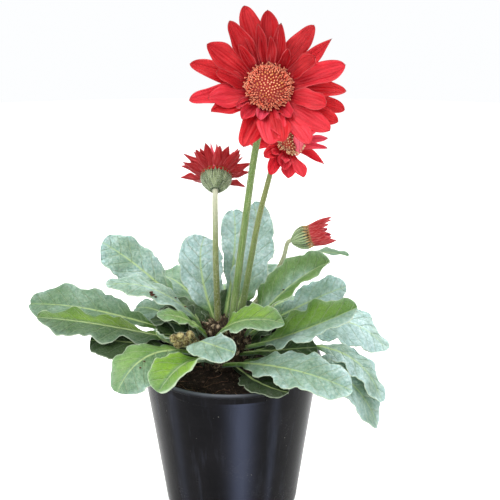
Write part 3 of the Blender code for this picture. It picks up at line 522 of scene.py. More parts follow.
def plastic_surface():
    """Black moulded plastic, half gloss, with dust, faint flow streaks, and painted highlights on wall and lip.
    """
    made, t, shader = surface("nursery_black", 0.30, IOR=1.11)
    worn, lip = t.values("worn lip")
    streaks = t.noise(1.0, 3.0, 0.6, vector=t.place_of((160.0, 160.0, 7.0)))
    clouds = t.noise(26.0, 5.0, 0.6)
    dusty = t.times(t.step(t.noise(700.0, 2.0, 0.5), 0.52, 0.75), t.step(clouds, 0.45, 0.85))
    spot = t.times(t.step(t.cells(230.0), 0.085, 0.03), t.step(t.noise(60.0, 1.0), 0.60, 0.66))
    # Painted highlights: bluish upright bands on the wall and a pale line along the lip, in place of reflections.
    colour = t.tint((16, 16, 18), ((26, 25, 28), t.step(clouds, 0.35, 0.75)),
                    ((42, 44, 52), t.step(streaks, 0.50, 0.80), 0.7), ((62, 67, 84), worn),
                    ((112, 116, 124), lip), ((90, 86, 80), dusty, 0.16), ((150, 146, 138), spot, 0.8))
    rough = t.math("ADD", t.step(clouds, 0.3, 0.8, 0.20, 0.30), t.times(dusty, 0.12))
    t.fill(shader.inputs["Roughness"], rough)
    dress(t, shader, colour, (streaks, 0.0004, 0.10), (t.noise(1200.0, 2.0), 0.00006, 0.35))
    return made


def mix_surface(name, dark, light, roughness=0.95):
    """Crumbly peat mix or old fibre."""
    made, t, shader = surface(name, roughness, Specular_IOR_Level=0.2)
    lumps, grain = t.noise(320.0, 4.0, 0.65), t.noise(1400.0, 4.0, 0.7)
    colour = t.tint(dark, (light, t.step(lumps, 0.40, 0.66)), ((112, 84, 60), t.step(grain, 0.5, 0.75), 0.5))
    dress(t, shader, colour, (grain, 0.0008, 0.9))
    return made


# The crown that everything grows from
def crown_radius(height):
    """Radius of the crown's smooth form at a height."""
    soil_share = smooth((height - CROWN_FOOT) / (SOIL_TOP - CROWN_FOOT))
    top_share = smooth((height - SOIL_TOP) / (CROWN_TOP - SOIL_TOP))
    low = CROWN_FOOT_RADIUS + (CROWN_WAIST_RADIUS - CROWN_FOOT_RADIUS) * soil_share
    return low + (CROWN_TOP_RADIUS - CROWN_WAIST_RADIUS) * top_share


def round_crown(angle, radius, height):
    """A point at an angle, in radians, and a distance round the crown's axis."""
    return np.array([CROWN_CENTRE[0] + radius * math.cos(angle),
                     CROWN_CENTRE[1] + radius * math.sin(angle), height])


def crown_point(side_degrees, up):
    """A point on the crown's side: up is 0 at the soil and 1 at the top's edge."""
    height = SOIL_TOP + 0.006 + (CROWN_TOP - SOIL_TOP - 0.008) * up
    return round_crown(math.radians(side_degrees), crown_radius(height), height)


def off_crown(point, rise=0.0):
    """Direction away from the crown's axis at a point."""
    return unit([point[0] - CROWN_CENTRE[0], point[1] - CROWN_CENTRE[1], rise])


# Leaves
# side: degrees round the crown where the stalk starts, 0 at +X and 90 at the back
# up: how far up the crown it starts; middle, tip: points that the midrib passes
# half: the blade's half width; stalk: share of the length that is bare stalk
# belly: share of the blade where it is widest; fold: both halves up; roll: left half up
# curl: rise of the margins; wave: height of their waves; lobes: depth of the cut edge; phase: shifts both
# pale felt share: pale felt, partly a painted sky sheen on halves that face up; shade: painted shade
# left, right: painted light through each half, seen from the crown
# paler: more pale felt and painted sky sheen that the right half has on top
Leaf = namedtuple("Leaf", "name side up middle tip half stalk belly fold roll curl wave lobes phase "
                          "bloom shade left right paler", defaults=(0.0,))

LEAVES = [
    Leaf("west_long", 168, 0.34, (-0.094, 0.006, 0.153), (-0.155, 0.010, 0.159),
         0.0195, 0.26, 0.62, 10, -24, 0.02, 0.0022, 0.16, 0.3, 0.40, 0.20, 0.05, 0.10),
    Leaf("west_front", 194, 0.42, (-0.087, -0.021, 0.153), (-0.139, -0.030, 0.164),
         0.0165, 0.20, 0.58, -2, -13, -0.05, 0.0026, 0.26, 1.1, 0.12, 0.34, 0.00, 0.80),
    Leaf("west_low", 204, 0.10, (-0.066, -0.025, 0.141), (-0.102, -0.028, 0.145),
         0.0205, 0.22, 0.60, 0, -14, 0.0, 0.0015, 0.12, 2.0, 0.10, 0.80, 0.00, 0.00),
    Leaf("southwest_hanging", 224, 0.20, (-0.053, -0.048, 0.144), (-0.077, -0.068, 0.124),
         0.019, 0.24, 0.60, -14, -24, -0.05, 0.0020, 0.18, 0.0, 0.28, 0.00, 0.10, 0.55),
    Leaf("southwest_bright", 240, 0.14, (-0.030, -0.056, 0.140), (-0.0465, -0.082, 0.131),
         0.0168, 0.20, 0.62, 20, 6, 0.02, 0.0012, 0.06, 2.6, 0.18, 0.00, 0.85, 0.90),
    Leaf("south_small", 250, 0.56, (-0.020, -0.0435, 0.151), (0.0045, -0.0555, 0.148),
         0.014, 0.24, 0.60, -4, 12, 0.0, 0.0010, 0.08, 0.7, 0.64, 0.00, 0.00, 0.10),
    Leaf("east_short", 240, 0.84, (0.009, -0.032, 0.162), (0.039, -0.036, 0.162),
         0.0150, 0.12, 0.50, 10, 18, 0.02, 0.0014, 0.18, 1.9, 0.16, 0.00, 0.75, 0.25),
    Leaf("east_long", 336, 0.46, (0.046, -0.023, 0.148), (0.093, -0.025, 0.170),
         0.020, 0.22, 0.60, 16, 20, 0.02, 0.0022, 0.20, 0.5, 0.06, 0.06, 0.50, 0.05, 0.60),
    Leaf("southeast_front", 268, 0.10, (0.040, -0.054, 0.135), (0.085, -0.068, 0.125),
         0.0180, 0.16, 0.58, 8, 18, -0.04, 0.0020, 0.18, 1.4, 0.64, 0.00, 0.00, 0.05),
    Leaf("south_cup", 294, 0.01, (0.021, -0.057, 0.1255), (0.041, -0.074, 0.1265),
         0.0165, 0.24, 0.56, 6, 0, 0.04, 0.0010, 0.06, 0.2, 0.00, 1.00, 0.00, 0.00),
    Leaf("east_drooping", 348, 0.20, (0.080, -0.013, 0.130), (0.113, -0.029, 0.096),
         0.0140, 0.36, 0.60, 0, 14, -0.04, 0.0018, 0.10, 1.0, 0.88, 0.00, 0.00, 0.00),
    Leaf("east_lowest", 326, 0.06, (0.073, -0.028, 0.123), (0.110, -0.034, 0.079),
         0.0185, 0.36, 0.60, 4, 16, 0.02, 0.0018, 0.10, 2.2, 0.74, 0.06, 0.00, 0.00),
    Leaf("east_arch", 8, 0.28, (0.078, 0.016, 0.1435), (0.122, 0.009, 0.121),
         0.023, 0.24, 0.56, -4, 22, -0.04, 0.0024, 0.06, 0.4, 1.18, 0.00, 0.00, 0.00),
    Leaf("northeast_raised", 0, 0.74, (0.043, -0.004, 0.177), (0.074, -0.008, 0.199),
         0.020, 0.12, 0.42, 24, 24, 0.02, 0.0016, 0.10, 1.6, 0.10, 0.14, 0.30, 0.60, 0.12),
    Leaf("northeast_mid", 34, 0.50, (0.058, 0.026, 0.153), (0.091, 0.028, 0.167),
         0.0165, 0.26, 0.58, 4, 24, 0.02, 0.0018, 0.14, 2.8, 0.92, 0.00, 0.00, 0.00),
    Leaf("northeast_edge", 58, 0.62, (0.050, 0.049, 0.181), (0.095, 0.052, 0.185),
         0.0125, 0.28, 0.58, 2, -24, 0.0, 0.0012, 0.08, 0.9, 0.85, 0.00, 0.00, 0.00),
    Leaf("northwest_raised", 140, 0.56, (-0.064, 0.022, 0.178), (-0.100, 0.026, 0.204),
         0.0185, 0.30, 0.56, 2, -34, -0.02, 0.0020, 0.08, 0.6, 0.74, 0.00, 0.00, 0.00),
    Leaf("west_flat", 178, 0.78, (-0.052, -0.005, 0.174), (-0.091, -0.014, 0.183),
         0.0150, 0.14, 0.58, -2, -10, 0.0, 0.0014, 0.10, 1.2, 0.62, 0.00, 0.05, 0.05),
    Leaf("west_inner", 212, 0.78, (-0.034, -0.018, 0.158), (-0.053, -0.025, 0.163),
         0.0075, 0.20, 0.58, 6, -20, 0.0, 0.0008, 0.10, 0.4, 0.20, 0.00, 0.55, 0.55),
    Leaf("north_left", 122, 0.86, (-0.0235, 0.024, 0.182), (-0.021, 0.040, 0.205),
         0.0175, 0.12, 0.54, 6, -4, 0.02, 0.0014, 0.06, 2.4, 1.15, 0.00, 0.00, 0.00),
    Leaf("north_centre", 95, 0.88, (0.002, 0.046, 0.190), (0.001, 0.068, 0.219),
         0.0120, 0.16, 0.66, 10, 12, 0.02, 0.0018, 0.08, 0.1, 1.15, 0.00, 0.00, 0.00),
    Leaf("north_right", 74, 0.92, (0.0185, 0.037, 0.193), (0.0175, 0.058, 0.228),
         0.0150, 0.14, 0.42, 6, 6, 0.02, 0.0020, 0.12, 1.7, 0.92, 0.00, 0.00, 0.00),
    Leaf("northwest_low", 148, 0.16, (-0.054, 0.034, 0.141), (-0.080, 0.050, 0.140),
         0.016, 0.28, 0.58, 4, -12, 0.0, 0.0020, 0.14, 2.1, 0.45, 0.20, 0.00, 0.00),
    Leaf("southwest_young", 211, 0.40, (-0.0445, -0.027, 0.145), (-0.052, -0.038, 0.157),
         0.0048, 0.30, 0.56, 12, 0, 0.0, 0.0004, 0.04, 0.0, 0.55, 0.00, 0.10, 0.10),
    Leaf("east_shaded", 316, 0.34, (0.040, -0.024, 0.136), (0.064, -0.024, 0.138),
         0.013, 0.20, 0.58, 2, 22, 0.0, 0.0010, 0.10, 1.3, 0.10, 0.65, 0.00, 0.00),
    Leaf("north_low", 88, 0.20, (-0.006, 0.056, 0.152), (-0.010, 0.108, 0.138),
         0.021, 0.30, 0.60, 6, 0, -0.02, 0.0024, 0.16, 0.8, 0.55, 0.00, 0.00, 0.00),
    Leaf("north_spreading", 70, 0.50, (0.014, 0.060, 0.164), (0.030, 0.104, 0.160),
         0.018, 0.28, 0.60, 8, 6, -0.02, 0.0022, 0.16, 1.1, 0.60, 0.00, 0.10, 0.00),
    Leaf("northwest_spreading", 122, 0.32, (-0.040, 0.056, 0.156), (-0.073, 0.088, 0.156),
         0.018, 0.28, 0.60, 6, -8, -0.02, 0.0022, 0.16, 0.2, 0.60, 0.00, 0.00, 0.15),
    Leaf("northwest_drooping", 108, 0.10, (-0.030, 0.066, 0.134), (-0.048, 0.102, 0.108),
         0.018, 0.32, 0.60, 4, -8, -0.02, 0.0020, 0.14, 1.9, 0.50, 0.00, 0.00, 0.00),
    Leaf("northeast_low", 54, 0.14, (0.040, 0.058, 0.142), (0.072, 0.094, 0.120),
         0.019, 0.30, 0.60, 4, 8, -0.02, 0.0022, 0.14, 2.5, 0.50, 0.00, 0.10, 0.00),
]

STALK_ROWS = 12
BLADE_ROWS = 58
HALF_ACROSS = (0.05, 0.12, 0.22, 0.34, 0.47, 0.60, 0.72, 0.83, 0.92, 0.975, 1.0)
VEIN_SPACING = 9.0
VEIN_SLANT = 0.85
MARGIN_THICK = 0.0005
QUILT = 0.0008
# Leaves whose left margin carries a wider band of felt, as a share of the usual narrowness
WIDE_FELT = {"southwest_bright": 0.30, "south_small": 0.6}
# Leaves whose slot is named leaf_young
YOUNG_LEAVES = ("southwest_bright", "east_short", "southwest_young")
# Leaves with felt along the midrib, more of it on their left half
INNER_FELT = {"northeast_raised": 1.00, "east_long": 0.12, "west_flat": 0.25}


def midrib(leaf, share):
    """Points of the midrib: one even curve from the crown through the leaf's middle point to its tip."""
    foot = crown_point(leaf.side, leaf.up)
    middle, tip = np.array(leaf.middle), np.array(leaf.tip)
    pull = 2 * middle - 0.5 * (foot + tip)
    share = np.asarray(share, float)[..., None]
    return (1 - share) ** 2 * foot + 2 * share * (1 - share) * pull + share ** 2 * tip


def blade_width(leaf, share):
    """Half width of the blade at a share of its length, as a share of its widest."""
    base = TIP_ROUNDNESS * leaf.belly / (1 - leaf.belly)
    widest = leaf.belly ** base * (1 - leaf.belly) ** TIP_ROUNDNESS
    return np.clip(share, 0, 1) ** base * np.clip(1 - share, 0, 1) ** TIP_ROUNDNESS / widest


def cut_edge(leaf, share, side):
    """Lobes of the margin, deeper and sharper near the stalk."""
    depth = leaf.lobes * LOBE_FADE * (1 - share) ** LOBE_FADE * smooth(share / 0.10)
    turn = 2 * np.pi * MARGIN_LOBES * share + leaf.phase + np.where(side > 0, LOBE_SHIFT, 0.0)
    tooth = np.sin(turn) + 0.34 * np.sin(2 * turn + 0.8) + 0.20 * np.sin(3 * turn + 1.9)
    nick = 0.03 * np.sin(2 * np.pi * 15 * share + 2 * leaf.phase + side) * (1 - share) ** 1.5
    return 1 + depth * tooth + nick


def leaf_grid(leaf):
    """Both faces of a leaf as rows of points, and the values that its finish reads."""
    rise = np.linspace(0, 1, BLADE_ROWS)
    blade = np.minimum(1 - (1 - rise) ** 1.5, 0.9992)
    share = np.concatenate([[-1.0], np.linspace(0, leaf.stalk, STALK_ROWS, endpoint=False),
                            leaf.stalk + (1 - leaf.stalk) * blade])
    half = np.array(HALF_ACROSS)
    v = np.concatenate([-half[::-1], [0.0], half])[None, :]
    s = share[:, None]
    t = (s - leaf.stalk) / (1 - leaf.stalk)
    inside = np.clip(share, 0, 1)
    step = 1e-3
    spine = midrib(leaf, inside)
    ahead = unit(midrib(leaf, np.minimum(inside + step, 1)) - midrib(leaf, np.maximum(inside - step, 0)))
    spine = spine + ahead * np.minimum(share, 0)[:, None] * SOCKET_DEPTH
    foot, tip = crown_point(leaf.side, leaf.up), np.array(leaf.tip)
    heading = unit([tip[0] - foot[0], tip[1] - foot[1], 0.0])
    level = np.cross([0, 0, 1.0], heading)
    left = unit(level - ahead * (ahead @ level)[:, None])
    left = turned(left, ahead, np.radians(leaf.roll) * smooth(share / 0.5))
    left_of, normal_of = left[:, None], np.cross(ahead, left)[:, None]

    opened = smooth(t / 0.16)
    flat = np.abs(v)
    on_blade = np.clip(t, 0, 1)
    stalk_reach = PETIOLE_HALF_WIDTH * np.where(t > 0, 1 - on_blade, 1.0)
    blade_reach = leaf.half * blade_width(leaf, on_blade)
    reach = np.maximum(stalk_reach, np.where(t > 0, blade_reach, 0))
    reach = reach * (1 + (cut_edge(leaf, on_blade, v) - 1) * flat * (t > 0))
    fold = np.radians(leaf.fold) * opened
    phase = leaf.phase * np.where(v > 0, 2, 1)
    waved = leaf.wave * opened * v * v * np.sin(2 * np.pi * MARGIN_WAVES * t + phase)
    ruffle = 0.22 * leaf.wave * opened * flat ** 4 * np.sin(2 * np.pi * 8.3 * t + 3 * phase)

    pieces = np.diff(midrib(leaf, np.linspace(leaf.stalk, 1, 40)), axis=0)
    length = float(np.sum(np.linalg.norm(pieces, axis=1)))
    rib_mm = reach * flat / MM
    edge_mm = reach * (1 - flat) / MM
    lag = VEIN_SLANT * rib_mm + 0.012 * rib_mm ** 2
    spacing = VEIN_SPACING * (0.75 + 0.5 * leaf.half / 0.02)
    veins = (t * length / MM - lag) / spacing + leaf.phase
    quilt = QUILT * (0.5 - 0.5 * np.cos(2 * np.pi * veins)) * np.sin(np.pi * flat ** 0.8) * opened
    ripple = 0.0004 * np.sin(5.1 * np.pi * t + 4 * leaf.phase + 1.7 * v) * flat * opened
    lift = reach * flat * np.sin(fold) + leaf.curl * reach * v * v + waved + ruffle + quilt + ripple
    at = spine[:, None] + left_of * (reach * v * np.cos(fold))[..., None] + normal_of * lift[..., None]

    # How far each face stands off the blade's middle: round on the stalk, thin with a rib on the blade
    stalk_under = 0.5 * PETIOLE_THICK * np.sqrt(np.clip(1 - v * v, 0, 1))
    stalk_over = stalk_under - 0.0006 * np.exp(-(v / 0.4) ** 2)
    thin = MARGIN_THICK + (BLADE_THICK - MARGIN_THICK) * np.sin(np.pi / 2 * np.clip(edge_mm / 1.5, 0, 1))
    rib_wide = 1.3 - 0.7 * on_blade
    blade_over = 0.5 * thin + 0.00035 * (1 - on_blade) * np.exp(-(rib_mm / 0.8) ** 2)
    blade_under = 0.5 * thin + RIB_THICK * (1 - 0.8 * on_blade) * np.exp(-(rib_mm / rib_wide) ** 2)
    over = stalk_over + (blade_over - stalk_over) * opened
    under = stalk_under + (blade_under - stalk_under) * opened
    top = at + normal_of * over[..., None]
    bottom = at - normal_of * under[..., None]

    # What the finish reads
    inner = INNER_FELT.get(leaf.name, 0.0) * np.exp(-(rib_mm / 7) ** 2) * smooth((0.85 - t) / 0.3)
    # Pale felt and painted sky sheen, with less of it towards the crown as painted shade at the foot of the blade
    felt_and_sheen_share = (leaf.bloom + leaf.paler * (v < 0)) * (0.42 + 0.58 * smooth(t / 0.50))
    felt_and_sheen_share = felt_and_sheen_share + inner * np.where(v > 0, 1.0, 0.6)
    felt_and_sheen_share = felt_and_sheen_share * (0.80 + 0.20 * smooth(flat / 0.3))
    felt_and_sheen_share = felt_and_sheen_share + (1 - leaf.shade) * 0.42 * np.exp(-edge_mm / 2.6) * smooth(t / 0.2)
    # Painted light through each half, fading towards the tip; the stalk glows a little unless the leaf is in
    # painted shade
    through = np.where(v > 0, leaf.left, leaf.right) * smooth((flat - 0.02) / 0.18) * smooth(t / 0.1)
    through = through * (1 - 0.55 * smooth((t - 0.62) / 0.38))
    stem = 1 - smooth(t / 0.12)
    felt_and_sheen_share = felt_and_sheen_share * (1 - 0.6 * stem)
    through = np.maximum(through, 0.35 * stem * (1 - leaf.shade))
    from_edge = edge_mm * np.where(v > 0, WIDE_FELT.get(leaf.name, 1.0), 1.0) + 2.0 * stem
    return top, bottom, dict(rib=rib_mm + 0.4 * stem, edge=from_edge, veins=veins, along=np.clip(t, -0.3, 1),
                             bloom=felt_and_sheen_share, glow=(through, through * 0.7), shade=leaf.shade,
                             upper=(1.0, 0.0))


def add_leaf(build, leaf):
    top, bottom, values = leaf_grid(leaf)
    build.sheet(top, bottom, **values)


def build_leaves(finish):
    """Every leaf as a piece of its own."""
    for leaf in LEAVES:
        build = Build()
        add_leaf(build, leaf)
        slot = "leaf_young" if leaf.name in YOUNG_LEAVES else "leaf_green"
        place(build.finish("blade_" + leaf.name, finish), slot, "leaf_" + leaf.name)


# Old leaves low in the rosette: direction from the crown, reach, height of the tip, half width, painted shade
OLD_LEAVES = [
    (84, 0.060, 0.150, 0.012, 0.75), (103, 0.062, 0.152, 0.013, 0.65), (121, 0.060, 0.147, 0.014, 0.80),
    (138, 0.060, 0.150, 0.013, 0.60), (154, 0.058, 0.150, 0.013, 0.75), (170, 0.060, 0.146, 0.013, 0.65),
    (186, 0.058, 0.141, 0.013, 0.80), (202, 0.046, 0.134, 0.011, 0.85), (62, 0.056, 0.146, 0.012, 0.80),
    (28, 0.052, 0.140, 0.012, 0.80), (352, 0.052, 0.132, 0.012, 0.85),
]
# Crumbs of mix that lie on leaves: leaf, place and size
LEAF_CRUMBS = [
    ("west_flat", -0.0565, -0.0158, 0.0021), ("west_flat", -0.0580, -0.0150, 0.0016),
    ("west_flat", -0.0545, -0.0166, 0.0014), ("west_flat", -0.0420, 0.0010, 0.0011),
    ("west_flat", -0.0345, 0.0012, 0.0010), ("southwest_hanging", -0.0620, -0.0600, 0.0009),
    ("southwest_hanging", -0.0590, -0.0560, 0.0007), ("northeast_raised", 0.0400, -0.0030, 0.0008),
]


def build_old_leaves(finish, litter_finish):
    """Older leaves under the others, darkened with painted shade, and crumbs of mix on the blades."""
    build = Build()
    for k, (side, reach, height, half, shade) in enumerate(OLD_LEAVES):
        way = np.array([math.cos(math.radians(side)), math.sin(math.radians(side))])
        middle = (*(CROWN_CENTRE + way * (reach * 0.56)), height - 0.004)
        tip = (*(CROWN_CENTRE + way * reach), height)
        leaf = Leaf("old", side, 0.02, middle, tip, half, 0.06, 0.5, 12, 10 * math.sin(5 * k), 0.04, 0.0022,
                    0.10, 0.7 * k, 0.10, shade, 0.0, 0.0)
        add_leaf(build, leaf)
    place(build.finish("old_leaves", finish), "leaf_green")

    litter, draw = Build(), np.random.default_rng(29)
    grids = {leaf.name: leaf_grid(leaf)[0] for leaf in LEAVES}
    for name, x, y, size in LEAF_CRUMBS:
        places = grids[name].reshape(-1, 3)
        nearest = places[np.argmin(np.hypot(places[:, 0] - x, places[:, 1] - y))]
        crumb = crumb_shape("litter_crumb", 0.6, draw.integers(1, 99))
        points = np.array([vertex.co for vertex in crumb.data.vertices]) * size * draw.uniform(1.6, 2.2)
        faces = [tuple(face.vertices) for face in crumb.data.polygons]
        litter.add(points + nearest + (0, 0, size * 0.4), faces)
        remove(crumb)
    place(litter.finish("leaf_litter", litter_finish), "potting_mix")


# Flower heads
# origin: centre of the plate that carries the rays; facing: the way the head looks
# cup_belly: 0 for a cup that opens like a bell, 1 for one as round as an egg
Head = namedtuple("Head", "origin facing cup_radius cup_height cup_belly plate_radius disc_radius "
                          "disc_height")

HEADS = {
    "main": Head((0.0270, -0.0260, 0.3260), (0.02, -0.90, 0.42), 0.0135, 0.0135, 0.3, 0.0150,
                 0.0155, 0.0075),
    "rear": Head((0.0423, 0.0265, 0.2815), (0.38, -0.71, 0.59), 0.0100, 0.0115, 0.3, 0.0108,
                 0.0105, 0.0060),
    "left": Head((-0.0111, 0.0330, 0.2550), (0.02, 0.77, 0.64), 0.0122, 0.0128, 0.0, 0.0122,
                 0.0100, 0.0050),
    "bud": Head((0.0605, 0.0140, 0.2130), (0.93, -0.14, 0.33), 0.0094, 0.0125, 0.9, 0.0086, 0.0, 0.0),
}

# Bell's radius and egg's radius, as shares of the cup's, at a share of its height
CUP_PROFILE = [
    (0.42, 0.56, 0.11), (0.64, 0.84, 0.34), (0.86, 0.98, 0.62), (0.97, 1.0, 0.86), (0.96, 0.90, 1.0),
]
CUP_TIP = 0.27
BRACT_LAYERS = 0.0008
BRACT_THICK = 0.0005

# foot, middle, neck: points that the flower stalk passes; lead: its straight run into the head's cup
Scape = namedtuple("Scape", "foot middle neck lead foot_radius top_radius")

SCAPES = {
    "main": Scape((0.0000, -0.0035, 0.143), (0.0110, -0.0020, 0.228), (0.0190, -0.0030, 0.284),
                  0.013, 0.0028, 0.0022),
    "rear": Scape((0.0060, 0.0010, 0.142), (0.0190, 0.0150, 0.215), (0.0285, 0.0300, 0.251),
                  0.007, 0.0024, 0.0019),
    "left": Scape((-0.0100, 0.0035, 0.142), (-0.0112, 0.0085, 0.190), (-0.0114, 0.0125, 0.223),
                  0.006, 0.0024, 0.0020),
    "bud": Scape((0.0040, 0.0070, 0.141), (0.0300, 0.0185, 0.174), (0.0400, 0.0185, 0.193),
                 0.004, 0.0019, 0.0016),
}

# angle: degrees round the head, 0 to its right and 90 up; reach: length; half: half width
# lift: rise from the head's plane at the root and at the tip; twist: turn about its own line
# point: 0 for a blunt tip, 1 for a sharp one; rolled: how far the sides roll up
Ray = namedtuple("Ray", "angle reach half lift_root lift_tip twist point rolled", defaults=(0.15, 0.0))

MAIN_RAYS = [
    Ray(103, 0.045, 0.0064, 24, 16, 0, 0.15, 0.1), Ray(91, 0.040, 0.0066, 34, 24, 8, 0.1, 0.25),
    Ray(74, 0.033, 0.0050, 38, 30, 0, 0.6, 0.2), Ray(56, 0.040, 0.0058, 24, 10, -6, 0.1, 0.0),
    Ray(35, 0.042, 0.0050, 16, 6, 38, 0.8, 0.2), Ray(12, 0.042, 0.0070, 26, 18, 10, 0.05, 0.3),
    Ray(-1, 0.040, 0.0062, 18, 6, -8, 0.25, 0.1), Ray(-16, 0.041, 0.0058, 12, -2, 0),
    Ray(-31, 0.041, 0.0058, 18, 10, 10), Ray(-44, 0.042, 0.0066, 26, 18, 0),
    Ray(-59, 0.041, 0.0058, 26, 22, 0), Ray(-75, 0.039, 0.0056, 36, 36, 0),
    Ray(-90, 0.039, 0.0070, 36, 32, 0), Ray(-110, 0.038, 0.0068, 26, 20, 0),
    Ray(-150, 0.033, 0.0060, 26, 18, 24), Ray(199, 0.032, 0.0062, 30, 18, 0),
    Ray(187, 0.042, 0.0058, 14, 2, 0, 0.2, 0.2), Ray(162, 0.043, 0.0058, 14, 6, 0, 0.1, 0.1),
    Ray(148, 0.039, 0.0068, 26, 20, 0, 0.1, 0.2), Ray(121, 0.040, 0.0068, 24, 14, -14, 0.35, 0.35),
]
MAIN_INNER_RAYS = [
    Ray(100, 0.031, 0.0046, 34, 38, 0, 0.6, 0.45), Ray(172, 0.025, 0.0056, 28, 30, 10, 0.2, 0.25),
    Ray(216, 0.019, 0.0046, 34, 50, 30, 0.2, 0.60), Ray(-103, 0.0155, 0.0046, 36, 44, 0, 0.1, 0.50),
    Ray(-56, 0.0175, 0.0056, 36, 44, 0, 0.0, 0.45), Ray(-20, 0.030, 0.0064, 30, 28, 0, 0.0, 0.25),
    Ray(30, 0.025, 0.0060, 34, 32, -12, 0.0, 0.30), Ray(58, 0.019, 0.0050, 40, 62, 24, 0.1, 0.75),
    Ray(128, 0.024, 0.0044, 34, 46, 0, 0.5, 0.45), Ray(-78, 0.030, 0.0052, 34, 36, 0, 0.1, 0.15),
    Ray(84, 0.024, 0.0040, 42, 52, 10, 0.5, 0.60), Ray(-128, 0.022, 0.0046, 34, 42, 0, 0.1, 0.30),
]
REAR_PLACES = [
    (-156, 0.0205), (-138, 0.0262), (-122, 0.0190), (-107, 0.0225), (-90, 0.0240), (-40, 0.0240),
    (-21, 0.0235), (-3, 0.0270), (18, 0.0255), (40, 0.0245), (62, 0.0250), (84, 0.0240),
    (106, 0.0250), (128, 0.0245), (150, 0.0240), (176, 0.0235),
]
LEFT_PLACES = [
    (2, 0.0215), (17, 0.0185), (32, 0.0215), (55, 0.0190), (72, 0.0205), (95, 0.0195),
    (113, 0.0190), (127, 0.0205), (143, 0.0175), (162, 0.0205), (194, 0.0190), (228, 0.0245),
    (256, 0.0220), (284, 0.0205), (312, 0.0215), (338, 0.0240),
]
BUD_PLACES = [
    (10, 0.0125), (52, 0.0175), (86, 0.0185), (118, 0.0180), (150, 0.0135), (182, 0.0135),
    (214, 0.0160), (246, 0.0175), (282, 0.0170), (326, 0.0140),
]
REAR_INNER_RAYS = [
    Ray(angle, 0.0200, 0.0042, 94, 166, 0, 0.3, 0.9) for angle in (-66, -46, -26, -6, 14, 34, 54)
] + [Ray(angle, 0.0120, 0.0030, 34, 30, 0, 0.3, 0.3) for angle in (-150, -120, 110, 150)]
REAR_RAYS = [Ray(angle, reach, 0.0044, 22 - 10 * (k % 2), 8 - 9 * (k % 2), 0,
                 *((0.9, 0.5) if abs(angle) < 60 else (0.1, 0.0)))
             for k, (angle, reach) in enumerate(REAR_PLACES)]
LEFT_RAYS = [Ray(angle, reach, 0.0038, 32 - 10 * (k % 2), 29 - 10 * (k % 2), 0, 0.85, 0.2)
             for k, (angle, reach) in enumerate(LEFT_PLACES)]
BUD_RAYS = [Ray(angle + shift, reach * (1 - 0.006 * shift), 0.0025, 76, 94, 14, 0.3, 0.6)
            for angle, reach in BUD_PLACES for shift in (-8, 10)]

RAY_ROWS = 26
RAY_ACROSS = 13
RAY_FULLNESS = 1.18
INNER_ROOT = {"rear": 1.12}


def head_frame(head):
    """Right, up and facing axes of a head; right is level."""
    facing = unit(head.facing)
    right = np.cross([0, 0, 1.0], facing) if abs(facing[2]) < 0.8 else np.array([1.0, 0.0, 0.0])
    right = unit(right - facing * (right @ facing))
    return right, np.cross(facing, right), facing


def in_head(head, local):
    """Points in a head's own axes as points in the frame."""
    local = np.asarray(local, float)
    right, up, facing = head_frame(head)
    return (np.array(head.origin) + local[..., 0:1] * right + local[..., 1:2] * up
            + local[..., 2:3] * facing)


def ray_width(share, point):
    """Half width of a ray floret: a narrow claw, widest past the middle, with a blunt or sharp tip."""
    claw = 0.46 + 0.54 * smooth(share / 0.50)
    start = 0.62 - 0.20 * point
    tip = np.clip(1 - (np.clip(share - start, 0, 1) / (1 - start)) ** (2.4 - 0.9 * point), 0, 1)
    return claw * tip ** (0.55 + 0.40 * point)


